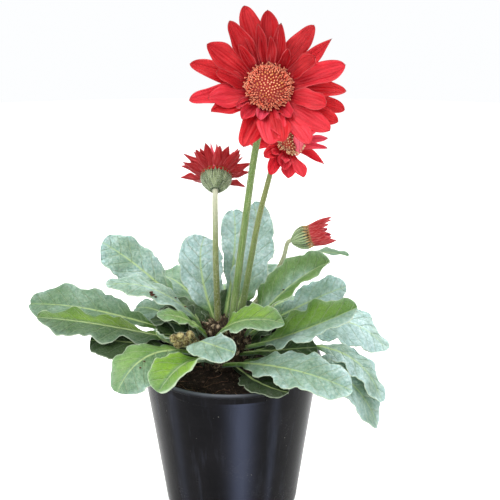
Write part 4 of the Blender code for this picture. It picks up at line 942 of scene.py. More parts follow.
def add_ray(build, head, ray, root_radius, root_height, draw):
    """One ray floret: a thin channelled blade with grooves along it and softly rolled sides."""
    share = 1 - (1 - np.linspace(0, 1, RAY_ROWS)) ** 1.35
    angle = math.radians(ray.angle)
    radial = np.array([math.cos(angle), math.sin(angle), 0.0])
    sideways = np.array([-math.sin(angle), math.cos(angle), 0.0])
    axis = np.array([0.0, 0.0, 1.0])
    lift = np.radians(ray.lift_root + (ray.lift_tip - ray.lift_root) * share)
    sway = draw.uniform(-0.20, 0.20)
    along = radial * np.cos(lift)[:, None] + axis * np.sin(lift)[:, None]
    steps = np.diff(share, prepend=0.0)[:, None] * ray.reach
    spine = radial * root_radius + axis * root_height + np.cumsum(along * steps, axis=0)
    spine = spine + sideways * (sway * ray.reach * share ** 2)[:, None] * 0.5
    side = turned(np.broadcast_to(sideways, along.shape), along, np.radians(ray.twist) * smooth(share / 0.7))
    over = np.cross(along, side)
    v = np.sin(np.linspace(-1, 1, RAY_ACROSS) * np.pi / 2)[None, :]
    reach = (RAY_FULLNESS * ray.half * np.maximum(ray_width(share, ray.point), 0.02))[:, None]
    start, pace = draw.uniform(0, 6.28, 2), draw.uniform(6, 13, 2)
    ragged = sum(np.sin(start[k] + pace[k] * share[:, None]) * np.clip(way * v, 0, 1)
                 for k, way in enumerate((1, -1)))
    reach = reach * (1 + 0.10 * ragged * smooth(share[:, None] / 0.4))
    bend = draw.uniform(0.3, 0.6) + 1.9 * ray.rolled * smooth(share[:, None] / 0.5)
    wave = 0.20 * np.sin(draw.uniform(0, 6.28) + 7.0 * share)[:, None]
    furrow = 0.075 * np.cos(v * 3 * np.pi) * smooth((1 - share[:, None]) / 0.15)
    hollow = draw.uniform(-0.10, 0.14) * np.sin(np.pi * share[:, None]) * (1 - v * v)
    notch = 0.10 * ray.half * np.cos(v * 2.2 * np.pi) * smooth((share[:, None] - 0.80) / 0.20)
    height = reach * ((1 - np.cos(bend * v)) / bend - 0.06 + wave * v + furrow + hollow)
    wide = reach * np.sin(bend * v) / bend
    at = (spine[:, None] + side[:, None] * wide[..., None] + over[:, None] * height[..., None]
          + along[:, None] * (notch * (1 - np.abs(v)))[..., None])
    edge_mm = reach * (1 - np.abs(v)) / MM
    thick = RAY_THICK * (0.45 + 0.55 * smooth(edge_mm / 0.9)) * (1 - 0.35 * share[:, None])
    top = in_head(head, at + over[:, None] * (thick / 2)[..., None])
    bottom = in_head(head, at - over[:, None] * (thick / 2)[..., None])
    # Each ray's own tone, with painted shade: the higher a ray points, the deeper its red.
    own = np.clip(0.5 - 0.34 * math.sin(angle) + draw.uniform(-0.45, 0.35), 0, 1)
    build.sheet(top, bottom, across=v, along=share[:, None], edge=edge_mm, own=own, upper=(1.0, 0.0),
                rolled=ray.rolled, point=ray.point)


def add_plate(build, head):
    """The low round plate that the ray florets stand on."""
    radius, half, sides = head.plate_radius * (0.96 if head.disc_radius else 0.62), PLATE_THICK / 2, 40
    profile = [(0.02, -half), (0.92, -half), (1.0, 0.0), (0.92, half), (0.02, half)]
    points = lathe([(radius * share, height) for share, height in profile], round_angles(sides))
    build.add(in_head(head, points), capped_faces(len(profile), sides), across=0.0, along=0.1, edge=1.0,
              own=0.1, upper=1.0, rolled=0.0, point=0.0)


def even_rays(count, reach, half, lift_root, lift_tip, spread, start, draw):
    """Rays that stand round a head at even angles, each a little different."""
    return [Ray(start + 360 * k / count + draw.uniform(-spread, spread), reach * draw.uniform(0.88, 1.06),
                half * draw.uniform(0.86, 1.08), lift_root + draw.uniform(-6, 6),
                lift_tip + draw.uniform(-9, 9), draw.uniform(-14, 14), 0.8, draw.uniform(0.2, 0.9))
            for k in range(count)]


def build_rays(name, groups, finish, seed):
    """The petals of one head in up to three layers, on their plate."""
    head, draw, build = HEADS[name], np.random.default_rng(seed), Build()
    add_plate(build, head)
    roots = (0.78 if head.disc_radius else 0.90, INNER_ROOT.get(name, 0.90), 0.84)
    for group, root, height in zip(groups, roots, (0.0, 0.25, 0.12)):
        for ray in group:
            add_ray(build, head, ray, head.plate_radius * root, PLATE_THICK * height, draw)
    place(build.finish("petals_" + name, finish), "petal_red", "rays_" + name)


def head_profile(head):
    """Radius and height of a cup's side, from its foot on the stalk to its rim."""
    foot = -PLATE_THICK / 2 - PLATE_GAP - head.cup_height
    sides = [(head.cup_radius * (bell + (egg - bell) * head.cup_belly), foot + head.cup_height * share)
             for bell, egg, share in CUP_PROFILE]
    return np.array([(head.cup_radius * CUP_TIP, foot - 0.0006)] + sides)


def along_profile(profile, share):
    """Points and outward directions at shares of a profile's length, on a smooth curve."""
    gaps = np.linalg.norm(np.diff(profile, axis=0), axis=1)
    knots = np.concatenate([[0], np.cumsum(gaps)]) / gaps.sum()
    share = np.clip(share, 0, 1)
    fine = np.linspace(0, 1, 200)
    smooth_line = np.stack([np.interp(fine, knots, profile[:, k]) for k in (0, 1)], 1)
    kernel = np.ones(21) / 21
    padded = np.pad(smooth_line, ((10, 10), (0, 0)), mode="reflect", reflect_type="odd")
    smooth_line = np.stack([np.convolve(padded[:, k], kernel, "valid") for k in (0, 1)], 1)
    ahead = unit(np.gradient(smooth_line, axis=0))
    out = np.stack([ahead[:, 1], -ahead[:, 0]], 1)
    return [np.stack([np.interp(share, fine, values[:, k]) for k in (0, 1)], -1)
            for values in (smooth_line, out)]


def scape_route(scape, head, rows):
    """Points of the stalk's centre line, from its socket in the crown up into the cup."""
    facing = head_frame(head)[2]
    cup_foot = in_head(head, np.array([0, 0, -PLATE_THICK / 2 - PLATE_GAP - head.cup_height]))
    knots = [np.array(scape.foot), np.array(scape.middle), np.array(scape.neck),
             cup_foot - facing * scape.lead, cup_foot + facing * 0.003]
    ends = [2 * knots[0] - knots[1]] + knots + [2 * knots[-1] - knots[-2]]
    route = []
    for a, b, c, d in zip(ends, ends[1:], ends[2:], ends[3:]):
        for t in np.linspace(0, 1, 24, endpoint=False):
            route.append(0.5 * (2 * b + (c - a) * t + (2 * a - 5 * b + 4 * c - d) * t * t
                                + (3 * b - a - 3 * c + d) * t ** 3))
    route.append(knots[-1])
    route = np.array(route)
    gone = np.concatenate([[0], np.cumsum(np.linalg.norm(np.diff(route, axis=0), axis=1))])
    even = np.linspace(0, gone[-1], rows)
    return np.stack([np.interp(even, gone, route[:, k]) for k in range(3)], 1)


SCAPE_ROWS = 90
SCAPE_SIDES = 24


def build_scape(name, finish):
    """The ribbed flower stalk, flared where it enters the cup."""
    scape, head = SCAPES[name], HEADS[name]
    route = scape_route(scape, head, SCAPE_ROWS)
    share = np.linspace(0, 1, SCAPE_ROWS)
    radii = scape.foot_radius + (scape.top_radius - scape.foot_radius) * share
    radii = radii * (1 + 0.28 * smooth((share - 0.955) / 0.045))
    angle = round_angles(SCAPE_SIDES)
    ribs = 1 + 0.022 * np.cos(angle * 12) + 0.03 * np.sin(5 * share[:, None] + angle)
    around = np.tile(np.arange(SCAPE_SIDES) / SCAPE_SIDES, SCAPE_ROWS)
    build = Build()
    build.tube(route, radii[:, None] * ribs, SCAPE_SIDES)
    build.values = {"along": [np.repeat(share, SCAPE_SIDES)], "around": [around]}
    return build.finish("stalk_" + name, finish)


def build_cup(name, finish, rows, lean, seed):
    """The green cup: a smooth core with rows of overlapping pointed bracts, whose tips lean by an angle.

    Each row has a count, the shares of the cup's side where its bracts start and end, and their half width.
    """
    head, draw = HEADS[name], np.random.default_rng(seed)
    profile = head_profile(head)
    profile[:, 0] -= BRACT_LAYERS
    rings, sides = 24, 48
    line, out = along_profile(profile, np.linspace(0, 1, rings))
    inner = line - out * BRACT_THICK
    inner[:, 0] = np.maximum(inner[:, 0], 0.0006)
    core = Build()
    core.add(in_head(head, lathe(inner, round_angles(sides))), capped_faces(rings, sides), across=0.8,
             along=0.3, own=0.2)
    cup = core.finish("cup_" + name, finish)

    build, tilt = Build(), math.radians(lean)
    u, v = np.linspace(0, 1, 14), np.linspace(-1, 1, 7)[None, :]
    for row, (count, start, end, width) in enumerate(rows):
        for k in range(count):
            turn = 2 * np.pi * (k + 0.5 * (row % 2) + draw.uniform(-0.12, 0.12)) / count
            own = draw.uniform(0, 1)
            last = end + draw.uniform(-0.04, 0.04)
            line, out = along_profile(profile, start + (last - start) * u)
            past = np.clip(start + (last - start) * u - 1, 0, None) * head.cup_height * 1.2
            taper = np.clip(1 - (np.clip(u - 0.35, 0, 1) / 0.65) ** 1.5, 0, 1) ** 0.8
            taper = taper * (0.55 + 0.45 * smooth(u / 0.4))
            half = np.maximum(width * taper, 0.00005)
            off = 0.00025 + 0.00016 * row + 0.0003 * u ** 3
            radius = (line[:, 0] + out[:, 0] * off + past * math.cos(tilt))[:, None]
            height = (line[:, 1] + out[:, 1] * off + past * math.sin(tilt))[:, None]
            keel = 0.00035 * (1 - np.abs(v)) * (1 - 0.5 * u[:, None])
            radius = radius + keel * out[:, 0:1]
            height = height + keel * out[:, 1:2]
            swing = turn + (half[:, None] * v) / np.maximum(radius, 0.003)
            skins = []
            for inset in (0.0, BRACT_THICK):
                ring = radius - inset * out[:, 0:1]
                spots = [ring * np.cos(swing), ring * np.sin(swing), height - inset * out[:, 1:2]]
                skins.append(in_head(head, np.stack(spots, -1)))
            build.sheet(*skins, across=v, along=u[:, None], own=own)
    return cup, build.finish("bracts_" + name, finish)


def joined(name, pieces):
    """Several finished objects as one, which keeps each part's finish."""
    for other in bpy.context.selected_objects:
        other.select_set(False)
    for one in pieces:
        one.select_set(True)
    bpy.context.view_layer.objects.active = pieces[0]
    bpy.ops.object.join()
    pieces[0].name = name
    pieces[0].data.name = name
    return pieces[0]


# Geometry Nodes: what repeats
def growth_tree(name, **inputs):
    """A new geometry tree with a Geometry input and output and the named inputs, each with its kind."""
    group = bpy.data.node_groups.new(name, "GeometryNodeTree")
    group.interface.new_socket("Geometry", in_out="OUTPUT", socket_type="NodeSocketGeometry")
    for label, kind in dict(Geometry="Geometry", **inputs).items():
        group.interface.new_socket(label.replace("_", " "), in_out="INPUT", socket_type="NodeSocket" + kind)
    return Tree(group), group.nodes.new("NodeGroupInput").outputs


def end_tree(t, instances, finish):
    """Makes the instances real, gives them their finish and returns the tree."""
    real = t.node("GeometryNodeRealizeInstances", instances).outputs[0]
    done = t.node("GeometryNodeSetMaterial", {"Geometry": real, "Material": finish}).outputs[0]
    t.node("NodeGroupOutput", done)
    return t.tree


def grown(carrier, group, values, name):
    """Runs a tree on a carrier object and returns the result as a plain mesh object."""
    step = carrier.modifiers.new("growth", "NODES")
    step.node_group = group
    for item in group.interface.items_tree:
        if item.item_type == "SOCKET" and item.in_out == "INPUT" and item.name in values:
            step[item.identifier] = values[item.name]
    bpy.context.view_layer.update()
    graph = bpy.context.evaluated_depsgraph_get()
    mesh = bpy.data.meshes.new_from_object(carrier.evaluated_get(graph), preserve_all_data_layers=True,
                                           depsgraph=graph)
    mesh.name = name
    carrier.modifiers.remove(step)
    return new_object(name, mesh)


def hair_tree(finish):
    """Thin cones that stand on a surface and lean towards one way, at random lengths."""
    t, given = growth_tree("Fine hair", Density="Float", Length="Float", Thickness="Float", Lean="Vector",
                           Scatter="Float", Seed="Int")
    spread = t.spread(given)
    cone = t.node("GeometryNodeMeshCone", {"Vertices": 3, "Radius Top": 0.0, "Radius Bottom": 0.5, "Depth": 1.0},
                  fill_type="NONE").outputs["Mesh"]
    chance = t.chance((-1.0,) * 3, (1.0,) * 3, given["Seed"], "FLOAT_VECTOR")
    wild = t.node("ShaderNodeVectorMath", {0: chance, "Scale": given["Scatter"]}, operation="SCALE").outputs[0]
    way = t.add(t.add(spread["Normal"], given["Lean"]), wild)
    tall = t.times(t.chance(0.5, 1.25), given["Length"])
    size = t.join(given["Thickness"], given["Thickness"], tall)
    return end_tree(t, t.copies(spread["Points"], cone, t.aim(way), size), finish)


def scatter_tree(finish):
    """Copies of one shape over a surface, turned and sized at random."""
    t, given = growth_tree("Scatter", Shape="Object", Density="Float", Smallest="Float", Largest="Float",
                           Upright="Float", Seed="Int")
    loose = t.times(t.math("SUBTRACT", 1.0, given["Upright"]), 3.14)
    back = t.times(loose, -1.0)
    turn = t.chance(t.join(back, back, 0.0), t.join(loose, loose, 6.283), given["Seed"], "FLOAT_VECTOR")
    size = t.chance(given["Smallest"], given["Largest"])
    return end_tree(t, t.copies(t.spread(given)["Points"], t.shape_of(given["Shape"]), turn, size), finish)


GOLDEN_TURN = 2.39996     # radians from one floret to the next
DISC_RISE = 0.50          # the dome's share of a disc's height
FLORET_CURL = 0.30


def disc_tree(finish):
    """Florets packed in the spiral of a daisy's disc, open ones outside and closed ones in the heart."""
    t, given = growth_tree("Disc florets", Open_floret="Object", Closed_floret="Object", Count="Int",
                           Radius="Float", Rise="Float", Outer_size="Float", Inner_size="Float",
                           Heart="Float", Seed="Int")
    index = t.node("GeometryNodeInputIndex").outputs[0]
    share = t.math("SQRT", t.math("DIVIDE", t.math("ADD", index, 0.5), given["Count"]))
    turn, bend = t.times(index, GOLDEN_TURN), t.times(share, math.pi / 2 * 0.94)
    cosine, sine, out = t.math("COSINE", turn), t.math("SINE", turn), t.math("SINE", bend)
    radius = t.times(out, given["Radius"])
    height = t.times(t.math("POWER", t.math("COSINE", bend), 0.8), given["Rise"])
    dip = t.times(t.step(share, 0.34, 0.0), t.times(given["Rise"], 0.22))
    spot = t.join(t.times(cosine, radius), t.times(sine, radius), t.math("SUBTRACT", height, dip))
    dots = t.node("GeometryNodePoints", {"Count": given["Count"], "Position": spot}).outputs[0]
    way = t.join(t.times(cosine, out), t.times(sine, out), t.math("COSINE", bend))
    way = t.add(way, t.chance((-0.22,) * 3, (0.22,) * 3, given["Seed"], "FLOAT_VECTOR"))
    spin = t.join(0.0, 0.0, t.chance(0.0, 6.283))
    spun = t.node("FunctionNodeRotateRotation", {"Rotation": t.aim(way), "Rotate By": spin},
                  rotation_space="LOCAL").outputs[0]
    inner = given["Inner size"]
    size = t.scaled(t.step(share, 0.0, 1.0), t.math("SUBTRACT", given["Outer size"], inner), inner)
    size = t.times(size, t.chance(0.85, 1.12))
    is_open = t.node("FunctionNodeCompare", {0: share, 1: given["Heart"]}, data_type="FLOAT",
                     operation="GREATER_THAN").outputs[0]
    is_closed = t.node("FunctionNodeBooleanMath", is_open, operation="NOT").outputs[0]
    both = t.node("GeometryNodeJoinGeometry")
    for label, chosen in (("Open floret", is_open), ("Closed floret", is_closed)):
        tier = t.copies(dots, t.shape_of(given[label]), spun, size, chosen)
        for key, value in (("ring", share), ("own", t.chance(0.0, 1.0, 5))):
            tier = t.node("GeometryNodeStoreNamedAttribute", {"Geometry": tier, "Name": key, "Value": value},
                          data_type="FLOAT", domain="INSTANCE").outputs[0]
        t.fill(both.inputs[0], tier)
    return end_tree(t, both.outputs[0], finish)


def floret_shape(name, tall, foot, waist, mouth, lobes, finish):
    """One small tube floret along +Z, with lobes that curl out at its mouth, or without them a closed knob."""
    sides = 10 if lobes else 5
    star = np.where(np.arange(sides) % 2 == 0, 1.0, 0.55)
    rings = [(foot, 0.0, 0.0), (waist, 0.45, 0.5), (mouth, 0.80, 0.85)]
    if lobes:
        rings += [(mouth * (1 + FLORET_CURL * (star - 0.55)), 0.80 + 0.20 * star, 0.7 + 0.3 * star),
                  (0.35 * mouth, 0.72, 0.45)]
    else:
        rings += [(0.62 * mouth, 0.97, 1.0)]
    angle, ones = round_angles(sides), np.ones(sides)
    points = [np.stack([radius * np.cos(angle), radius * np.sin(angle), tall * share * ones], 1)
              for radius, share, _ in rings]
    build = Build()
    build.add(np.concatenate(points), capped_faces(len(rings), sides),
              height=np.concatenate([height * ones for _, _, height in rings]))
    return build.finish(name, finish)


FRINGE_DENSITY = 6000     # filaments for each metre of a disc's radius
FRINGE_THICK = 0.00022


def disc_fringe(name, finish, seed):
    """Thin curved filaments that stand out between the disc and the petals."""
    head, draw, build = HEADS[name], np.random.default_rng(seed), Build()
    along = np.linspace(0, 1, 6)
    for k in range(int(FRINGE_DENSITY * head.disc_radius)):
        turn = GOLDEN_TURN * k + draw.uniform(-0.1, 0.1)
        reach, rise = draw.uniform(0.0020, 0.0042), draw.uniform(0.0012, 0.0034)
        radius = head.disc_radius * 0.84 + reach * along
        height = PLATE_THICK / 2 + 0.35 * head.disc_height + rise * np.sin(along * np.pi * draw.uniform(0.5, 0.9))
        swing = turn + draw.uniform(-0.12, 0.12) * along ** 2
        route = in_head(head, np.stack([radius * np.cos(swing), radius * np.sin(swing), height], 1))
        # Low height gives the filaments' feet the painted shade of the gaps.
        build.tube(route, FRINGE_THICK * (1 + 0.9 * (along > 0.7)), 5, height=0.3 + 0.7 * along, ring=0.9,
                   own=draw.uniform(0, 1))
    return build.finish("fringe_" + name, finish)


def build_disc(name, finish, count, sizes, heart, seed):
    """The disc of one head, grown in the head's own axes and then set in its place."""
    head = HEADS[name]
    foot = PLATE_THICK / 2 + PLATE_GAP
    rise = DISC_RISE * head.disc_height
    rim = foot + 0.45 * head.disc_height
    foot_radius = min(head.plate_radius, head.disc_radius) * 0.72
    profile = [(0.0004, rim + rise)]
    profile += [(0.80 * head.disc_radius * math.sin(bend), rim + rise * math.cos(bend) ** 0.8)
                for bend in np.linspace(0.25, 1.5, 7)]
    profile += [(foot_radius, foot + 0.25 * head.disc_height), (foot_radius, foot), (0.001, foot)]
    base, sides = Build(), 40
    # Height 0 gives the core the gaps' painted shade colour.
    base.add(in_head(head, lathe(profile, round_angles(sides))),
             capped_faces(len(profile), sides, turned_over=True), height=0.0, ring=0.8, own=0.5)
    core = base.finish("disc_core_" + name, finish)
    opened = floret_shape("open_floret", 2.2, 0.20, 0.25, 0.36, True, finish)
    closed = floret_shape("closed_floret", 1.7, 0.26, 0.40, 0.42, False, finish)
    dot = new_object("dot", bpy.data.meshes.new("dot"))
    values = {"Open floret": opened, "Closed floret": closed, "Count": count, "Rise": rise,
              "Radius": head.disc_radius * 0.82, "Outer size": sizes[0], "Inner size": sizes[1],
              "Heart": heart, "Seed": seed}
    florets = grown(dot, disc_tree(finish), values, "floret_field")
    remove(dot, opened, closed)
    places = mesh_points(florets.data) + (0, 0, rim - 0.0004)
    florets.data.vertices.foreach_set("co", in_head(head, places).astype(np.float32).ravel())
    florets.data.update()
    place(joined("florets_" + name, [florets, core, disc_fringe(name, finish, seed)]), "disc_floret",
          "disc_" + name)


# Pot
def pot_outer_radius(height):
    return BASE_RADIUS + (RIM_RADIUS - LIP_WIDTH - BASE_RADIUS) * height / (POT_HEIGHT - LIP_DEPTH)


def degrees_from(middle, degrees):
    """Signed degrees round the pot from a direction."""
    return (degrees - middle + 180) % 360 - 180


LIP_ROUND = 0.0017        # half height of the lip's rolled bead
BAND_OVER = 0.0010        # how far the grip band runs up into the lip
BAND_STEP = 0.00022       # height between rings of points across the band
# Painted highlight: lighter upright bands on the wall, in place of reflections: direction, spread and strength
POT_SHINE = [(-82, 8, 0.75), (-60, 3, 0.25), (-128, 4, 0.18), (20, 9, 0.5), (95, 10, 0.6), (170, 6, 0.4)]


def build_pot(finish):
    """The nursery pot: tapered wall, rolled lip, raised grip band and drain holes."""
    wall_top = POT_HEIGHT - LIP_DEPTH
    lip_middle = (pot_outer_radius(wall_top) - WALL + RIM_RADIUS) / 2
    lip_half = RIM_RADIUS - lip_middle
    band_low = wall_top - GRIP_HEIGHT + BAND_OVER
    heights = np.concatenate([[0.0022], np.linspace(0.006, band_low - 0.004, 12),
                              np.arange(band_low - 0.0028, wall_top - 0.0001, BAND_STEP), [wall_top]])
    bead = np.radians([-70, -40, -10, 25, 60, 90, 120, 150])
    profile = [(BASE_RADIUS - 0.0045, 0.0), (BASE_RADIUS - 0.0036, 0.0003), (BASE_RADIUS - 0.0026, 0.0004),
               (BASE_RADIUS - 0.0014, 0.0006)]
    profile += [(pot_outer_radius(h), h) for h in heights]
    profile += [(lip_middle + lip_half * math.cos(a), POT_HEIGHT - LIP_ROUND + LIP_ROUND * math.sin(a))
                for a in bead]
    profile += [(pot_outer_radius(h) - WALL, h) for h in (wall_top - 0.001, 0.080, 0.040, POT_FLOOR + 0.002)]
    profile += [(pot_outer_radius(POT_FLOOR) - WALL - 0.002, POT_FLOOR)]
    rows = np.array(profile)
    ring, height = rows[:, :1], rows[:, 1:]

    # Even angles, and closer ones at the ends of the grip band
    even = np.linspace(0, 360, 180, endpoint=False)
    ends = [GRIP_MIDDLE - GRIP_HALF_ANGLE, GRIP_MIDDLE + GRIP_HALF_ANGLE]
    extra = [(end + shift) % 360 for end in ends for shift in (-0.35, 0.0, 0.35)]
    degrees = np.array(sorted(set(np.round(np.concatenate([even, extra]), 3))))
    angle = np.radians(degrees)
    away = degrees_from(GRIP_MIDDLE, degrees)
    arch = np.cos(np.radians(90) * np.clip(away / GRIP_HALF_ANGLE, -1, 1))
    low = wall_top + BAND_OVER - GRIP_HEIGHT * (0.78 + 0.22 * arch)
    in_band = smooth((GRIP_HALF_ANGLE + 0.2 - np.abs(away)) / 0.4)
    above = smooth((height - low) / 0.0003)
    outside = (ring >= pot_outer_radius(height) - 1e-6) & (height <= wall_top + 1e-6) & (height > 0.05)
    radius = ring + GRIP_PROUD * in_band * above * outside
    points = np.stack([radius * np.cos(angle), radius * np.sin(angle), height + 0 * radius], -1)
    # Painted highlight: the upright bands of POT_SHINE on the wall, and a pale line round the top of the lip
    worn = np.zeros(radius.shape)
    for middle, spread, share in POT_SHINE:
        gap = degrees_from(middle, degrees)
        worn += share * np.exp(-(gap / spread) ** 2) * (height < wall_top - 0.004)
    lip = np.exp(-((height - POT_HEIGHT) / 0.0009) ** 2) * (0.72 + 0.2 * np.cos(3 * angle))
    build = Build()
    build.add(points, capped_faces(len(rows), len(angle)), worn=np.clip(worn, 0, 1), lip=lip)
    pot = build.finish("pot_shell", finish, 45)

    # Drain holes, cut out and left as a plain mesh
    cutters = bpy.data.collections.new("drain_cutters")
    bpy.context.scene.collection.children.link(cutters)
    for k in range(DRAIN_HOLES):
        turn = 2 * math.pi * (k + 0.5) / DRAIN_HOLES
        bpy.ops.mesh.primitive_cylinder_add(vertices=32, radius=DRAIN_RADIUS, depth=0.02)
        hole = bpy.context.active_object
        spot = (DRAIN_CIRCLE * math.cos(turn), DRAIN_CIRCLE * math.sin(turn), 0)
        hole.data.transform(Matrix.Translation(spot))
        for old in list(hole.users_collection):
            old.objects.unlink(hole)
        cutters.objects.link(hole)
    cut = pot.modifiers.new("drain", "BOOLEAN")
    cut.operand_type, cut.collection, cut.operation, cut.solver = "COLLECTION", cutters, "DIFFERENCE", "EXACT"
    bpy.context.view_layer.update()
    graph = bpy.context.evaluated_depsgraph_get()
    mesh = bpy.data.meshes.new_from_object(pot.evaluated_get(graph))
    pot.modifiers.clear()
    pot.data = mesh
    remove(*cutters.objects)
    bpy.data.collections.remove(cutters)
    place(pot, "pot_plastic", "pot")


# Potting mix, crown and young buds
def soil_height(x, y):
    """Top of the potting mix: a low mound towards the crown, with clods."""
    mound = SOIL_TOP + SOIL_MOUND * (1 - math.hypot(x, y) / RIM_RADIUS)
    wide, small = Vector((x * 90, y * 90, 3.1)), Vector((x * 260, y * 260, 7.7))
    return mound + (0.0016 * noise.noise(wide) + 0.0008 * noise.noise(small))


SOIL_WALL_GAP = 0.0006
POCKET_GAP = 0.0022
COVER_SIDES = 48
ROOT_COUNT = 80
ROOT_STEP = 0.0019


def build_soil(finish, crumb_finish, root_finish):
    """Displaced mound that fills the pot, crumbs all over it, and thin roots."""
    sides = 96
    floor, edge = POT_FLOOR + 0.0003, SOIL_TOP - 0.001
    pocket, pocket_foot = CROWN_WAIST_RADIUS + POCKET_GAP, CROWN_FOOT - 0.0003
    profile = [(0.012, floor), (pot_outer_radius(floor) - WALL - SOIL_WALL_GAP, floor),
               (pot_outer_radius(edge) - WALL - SOIL_WALL_GAP, edge)]
    fixed = len(profile)
    profile += [(radius, None) for radius in np.linspace(0.0625, pocket, 26)]
    profile += [(pocket, pocket_foot), (0.006, pocket_foot)]
    points = []
    for ring, (radius, height) in enumerate(profile):
        for k in range(sides):
            angle = 2 * math.pi * k / sides
            x, y = radius * math.cos(angle), radius * math.sin(angle)
            if ring >= fixed:
                centred = float(smooth((0.060 - radius) / 0.02))
                x, y = x + CROWN_CENTRE[0] * centred, y + CROWN_CENTRE[1] * centred
            points.append((x, y, soil_height(x, y) if height is None else height))
    build = Build()
    build.add(points, capped_faces(len(profile), sides, turned_over=True))
    place(build.finish("mix_mound", finish), "potting_mix", "soil")

    top = Build()
    rings = np.linspace(0.0630, pocket, 12)
    cover = [(r * math.cos(a), r * math.sin(a))
             for r in rings for a in np.linspace(0, 2 * math.pi, COVER_SIDES, False)]
    top.add([(x, y, soil_height(x, y)) for x, y in cover], ring_faces(len(rings), COVER_SIDES))
    carrier = top.finish("mix_cover", finish)
    if carrier.data.polygons[0].normal.z < 0:
        carrier.data.flip_normals()
    crumb, chip = crumb_shape("crumb", 0.75, 11), crumb_shape("chip", 0.35, 12)
    tree = scatter_tree(crumb_finish)
    fine = grown(carrier, tree, {"Shape": crumb, "Density": 190000.0, "Smallest": 0.0004, "Largest": 0.0013,
                                 "Upright": 0.0, "Seed": 3}, "fine_crumbs")
    coarse = grown(carrier, tree, {"Shape": chip, "Density": 26000.0, "Smallest": 0.0010, "Largest": 0.0026,
                                   "Upright": 0.4, "Seed": 8}, "coarse_chips")
    remove(carrier, crumb, chip)
    place(joined("mix_crumbs", [fine, coarse]), "potting_mix")

    roots, draw = Build(), np.random.default_rng(7)
    for _ in range(ROOT_COUNT):
        turn, radius = draw.uniform(0, 2 * math.pi), draw.uniform(0.024, 0.058)
        x, y, way = radius * math.cos(turn), radius * math.sin(turn), draw.uniform(0, 2 * math.pi)
        route = []
        for _ in range(draw.integers(7, 14)):
            if math.hypot(x, y) > 0.0615 or math.hypot(x - CROWN_CENTRE[0], y - CROWN_CENTRE[1]) < 0.021:
                break
            route.append((x, y, soil_height(x, y) + 0.0004 + draw.uniform(0, 0.0007)))
            way += draw.uniform(-0.6, 0.6)
            x, y = x + ROOT_STEP * math.cos(way), y + ROOT_STEP * math.sin(way)
        if len(route) > 3:
            roots.tube(route, np.full(len(route), draw.uniform(0.00010, 0.00026)), 6)
    place(roots.finish("mix_roots", root_finish), "potting_mix")


def crumb_shape(name, flatness, seed):
    """One crumb about one unit across, for scattering."""
    bpy.ops.mesh.primitive_ico_sphere_add(subdivisions=1, radius=0.5)
    crumb = bpy.context.active_object
    crumb.name = name
    draw = np.random.default_rng(seed)
    for vertex in crumb.data.vertices:
        vertex.co = vertex.co * draw.uniform(0.75, 1.2)
        vertex.co.z *= flatness
        vertex.co.x *= 1.25
    crumb.data.shade_smooth()
    return crumb


def dry_scrap(name):
    """One curled dry leaf base about one unit long, for scattering."""
    along, across = np.linspace(-0.5, 0.5, 6)[:, None], np.linspace(-1, 1, 5)[None, :]
    wide = 0.22 * np.sqrt(np.clip(1.05 - (2 * along) ** 2, 0, 1))
    bend = 0.9 * along ** 2 - 0.28 * across ** 2 * (1 + along)
    sheet = np.stack([along + 0 * across, wide * across, bend], -1)
    build = Build()
    build.sheet(sheet + (0, 0, 0.02), sheet - (0, 0, 0.02))
    return build.finish(name, None)


STUB_COUNT = 34
STUB_TURN = 137.5         # degrees from one stub to the next


def build_crown(finish, fibre_finish, scrap_finish):
    """The stock with its bark, stubs of old leaf stalks, dry scraps and fibres."""
    sides, rows = 56, 34
    heights = np.concatenate([np.linspace(CROWN_FOOT, CROWN_TOP, rows), [CROWN_TOP + 0.0014]])
    points = []
    for height in heights:
        radius = crown_radius(min(height, CROWN_TOP)) * (0.82 if height > CROWN_TOP else 1.0)
        for k in range(sides):
            angle = 2 * math.pi * k / sides
            spot = Vector((math.cos(angle) * 3.2, math.sin(angle) * 3.2, height * 90))
            reach = radius + 0.0007 * noise.noise(spot) + 0.0004 * noise.noise(spot * 3.1)
            points.append(round_crown(angle, reach, height))
    build = Build()
    build.add(points, capped_faces(len(heights), sides))
    draw = np.random.default_rng(17)
    for k in range(STUB_COUNT):
        foot = crown_point(k * STUB_TURN + draw.uniform(-8, 8), draw.uniform(-0.05, 0.95))
        out, long = off_crown(foot), draw.uniform(0.003, 0.007)
        route = [foot - out * 0.002, foot + out * long * 0.4 + (0, 0, long * 0.3),
                 foot + out * long * 0.7 + (0, 0, long)]
        build.tube(route, [0.0018, 0.0013, 0.0007], 7)
    stock = build.finish("stock", finish)
    fibres = grown(stock, hair_tree(fibre_finish), {
        "Density": 90000.0, "Length": 0.0085, "Thickness": 0.00034, "Lean": (0.0, 0.0, 1.1),
        "Scatter": 0.8, "Seed": 4}, "stock_fibres")
    scrap = dry_scrap("scrap")
    scraps = grown(stock, scatter_tree(scrap_finish), {
        "Shape": scrap, "Density": 26000.0, "Smallest": 0.0035, "Largest": 0.0085, "Upright": 0.35,
        "Seed": 6}, "dry_scraps")
    remove(scrap)
    place(stock, "crown_fibre", "crown")
    place(fibres, "crown_fibre")
    place(scraps, "crown_fibre")


# Woolly young buds low on the left of the crown: place and radius of each
YOUNG_BUDS = [
    ((-0.0400, -0.0345, 0.1495), 0.0032), ((-0.0355, -0.0345, 0.1510), 0.0032),
    ((-0.0375, -0.0345, 0.1455), 0.0032), ((-0.0320, -0.0325, 0.1470), 0.0036),
    ((-0.0290, -0.0290, 0.1500), 0.0032),
]
YOUNG_BUD_SIDE = 228
YOUNG_BUD_UP = 0.50


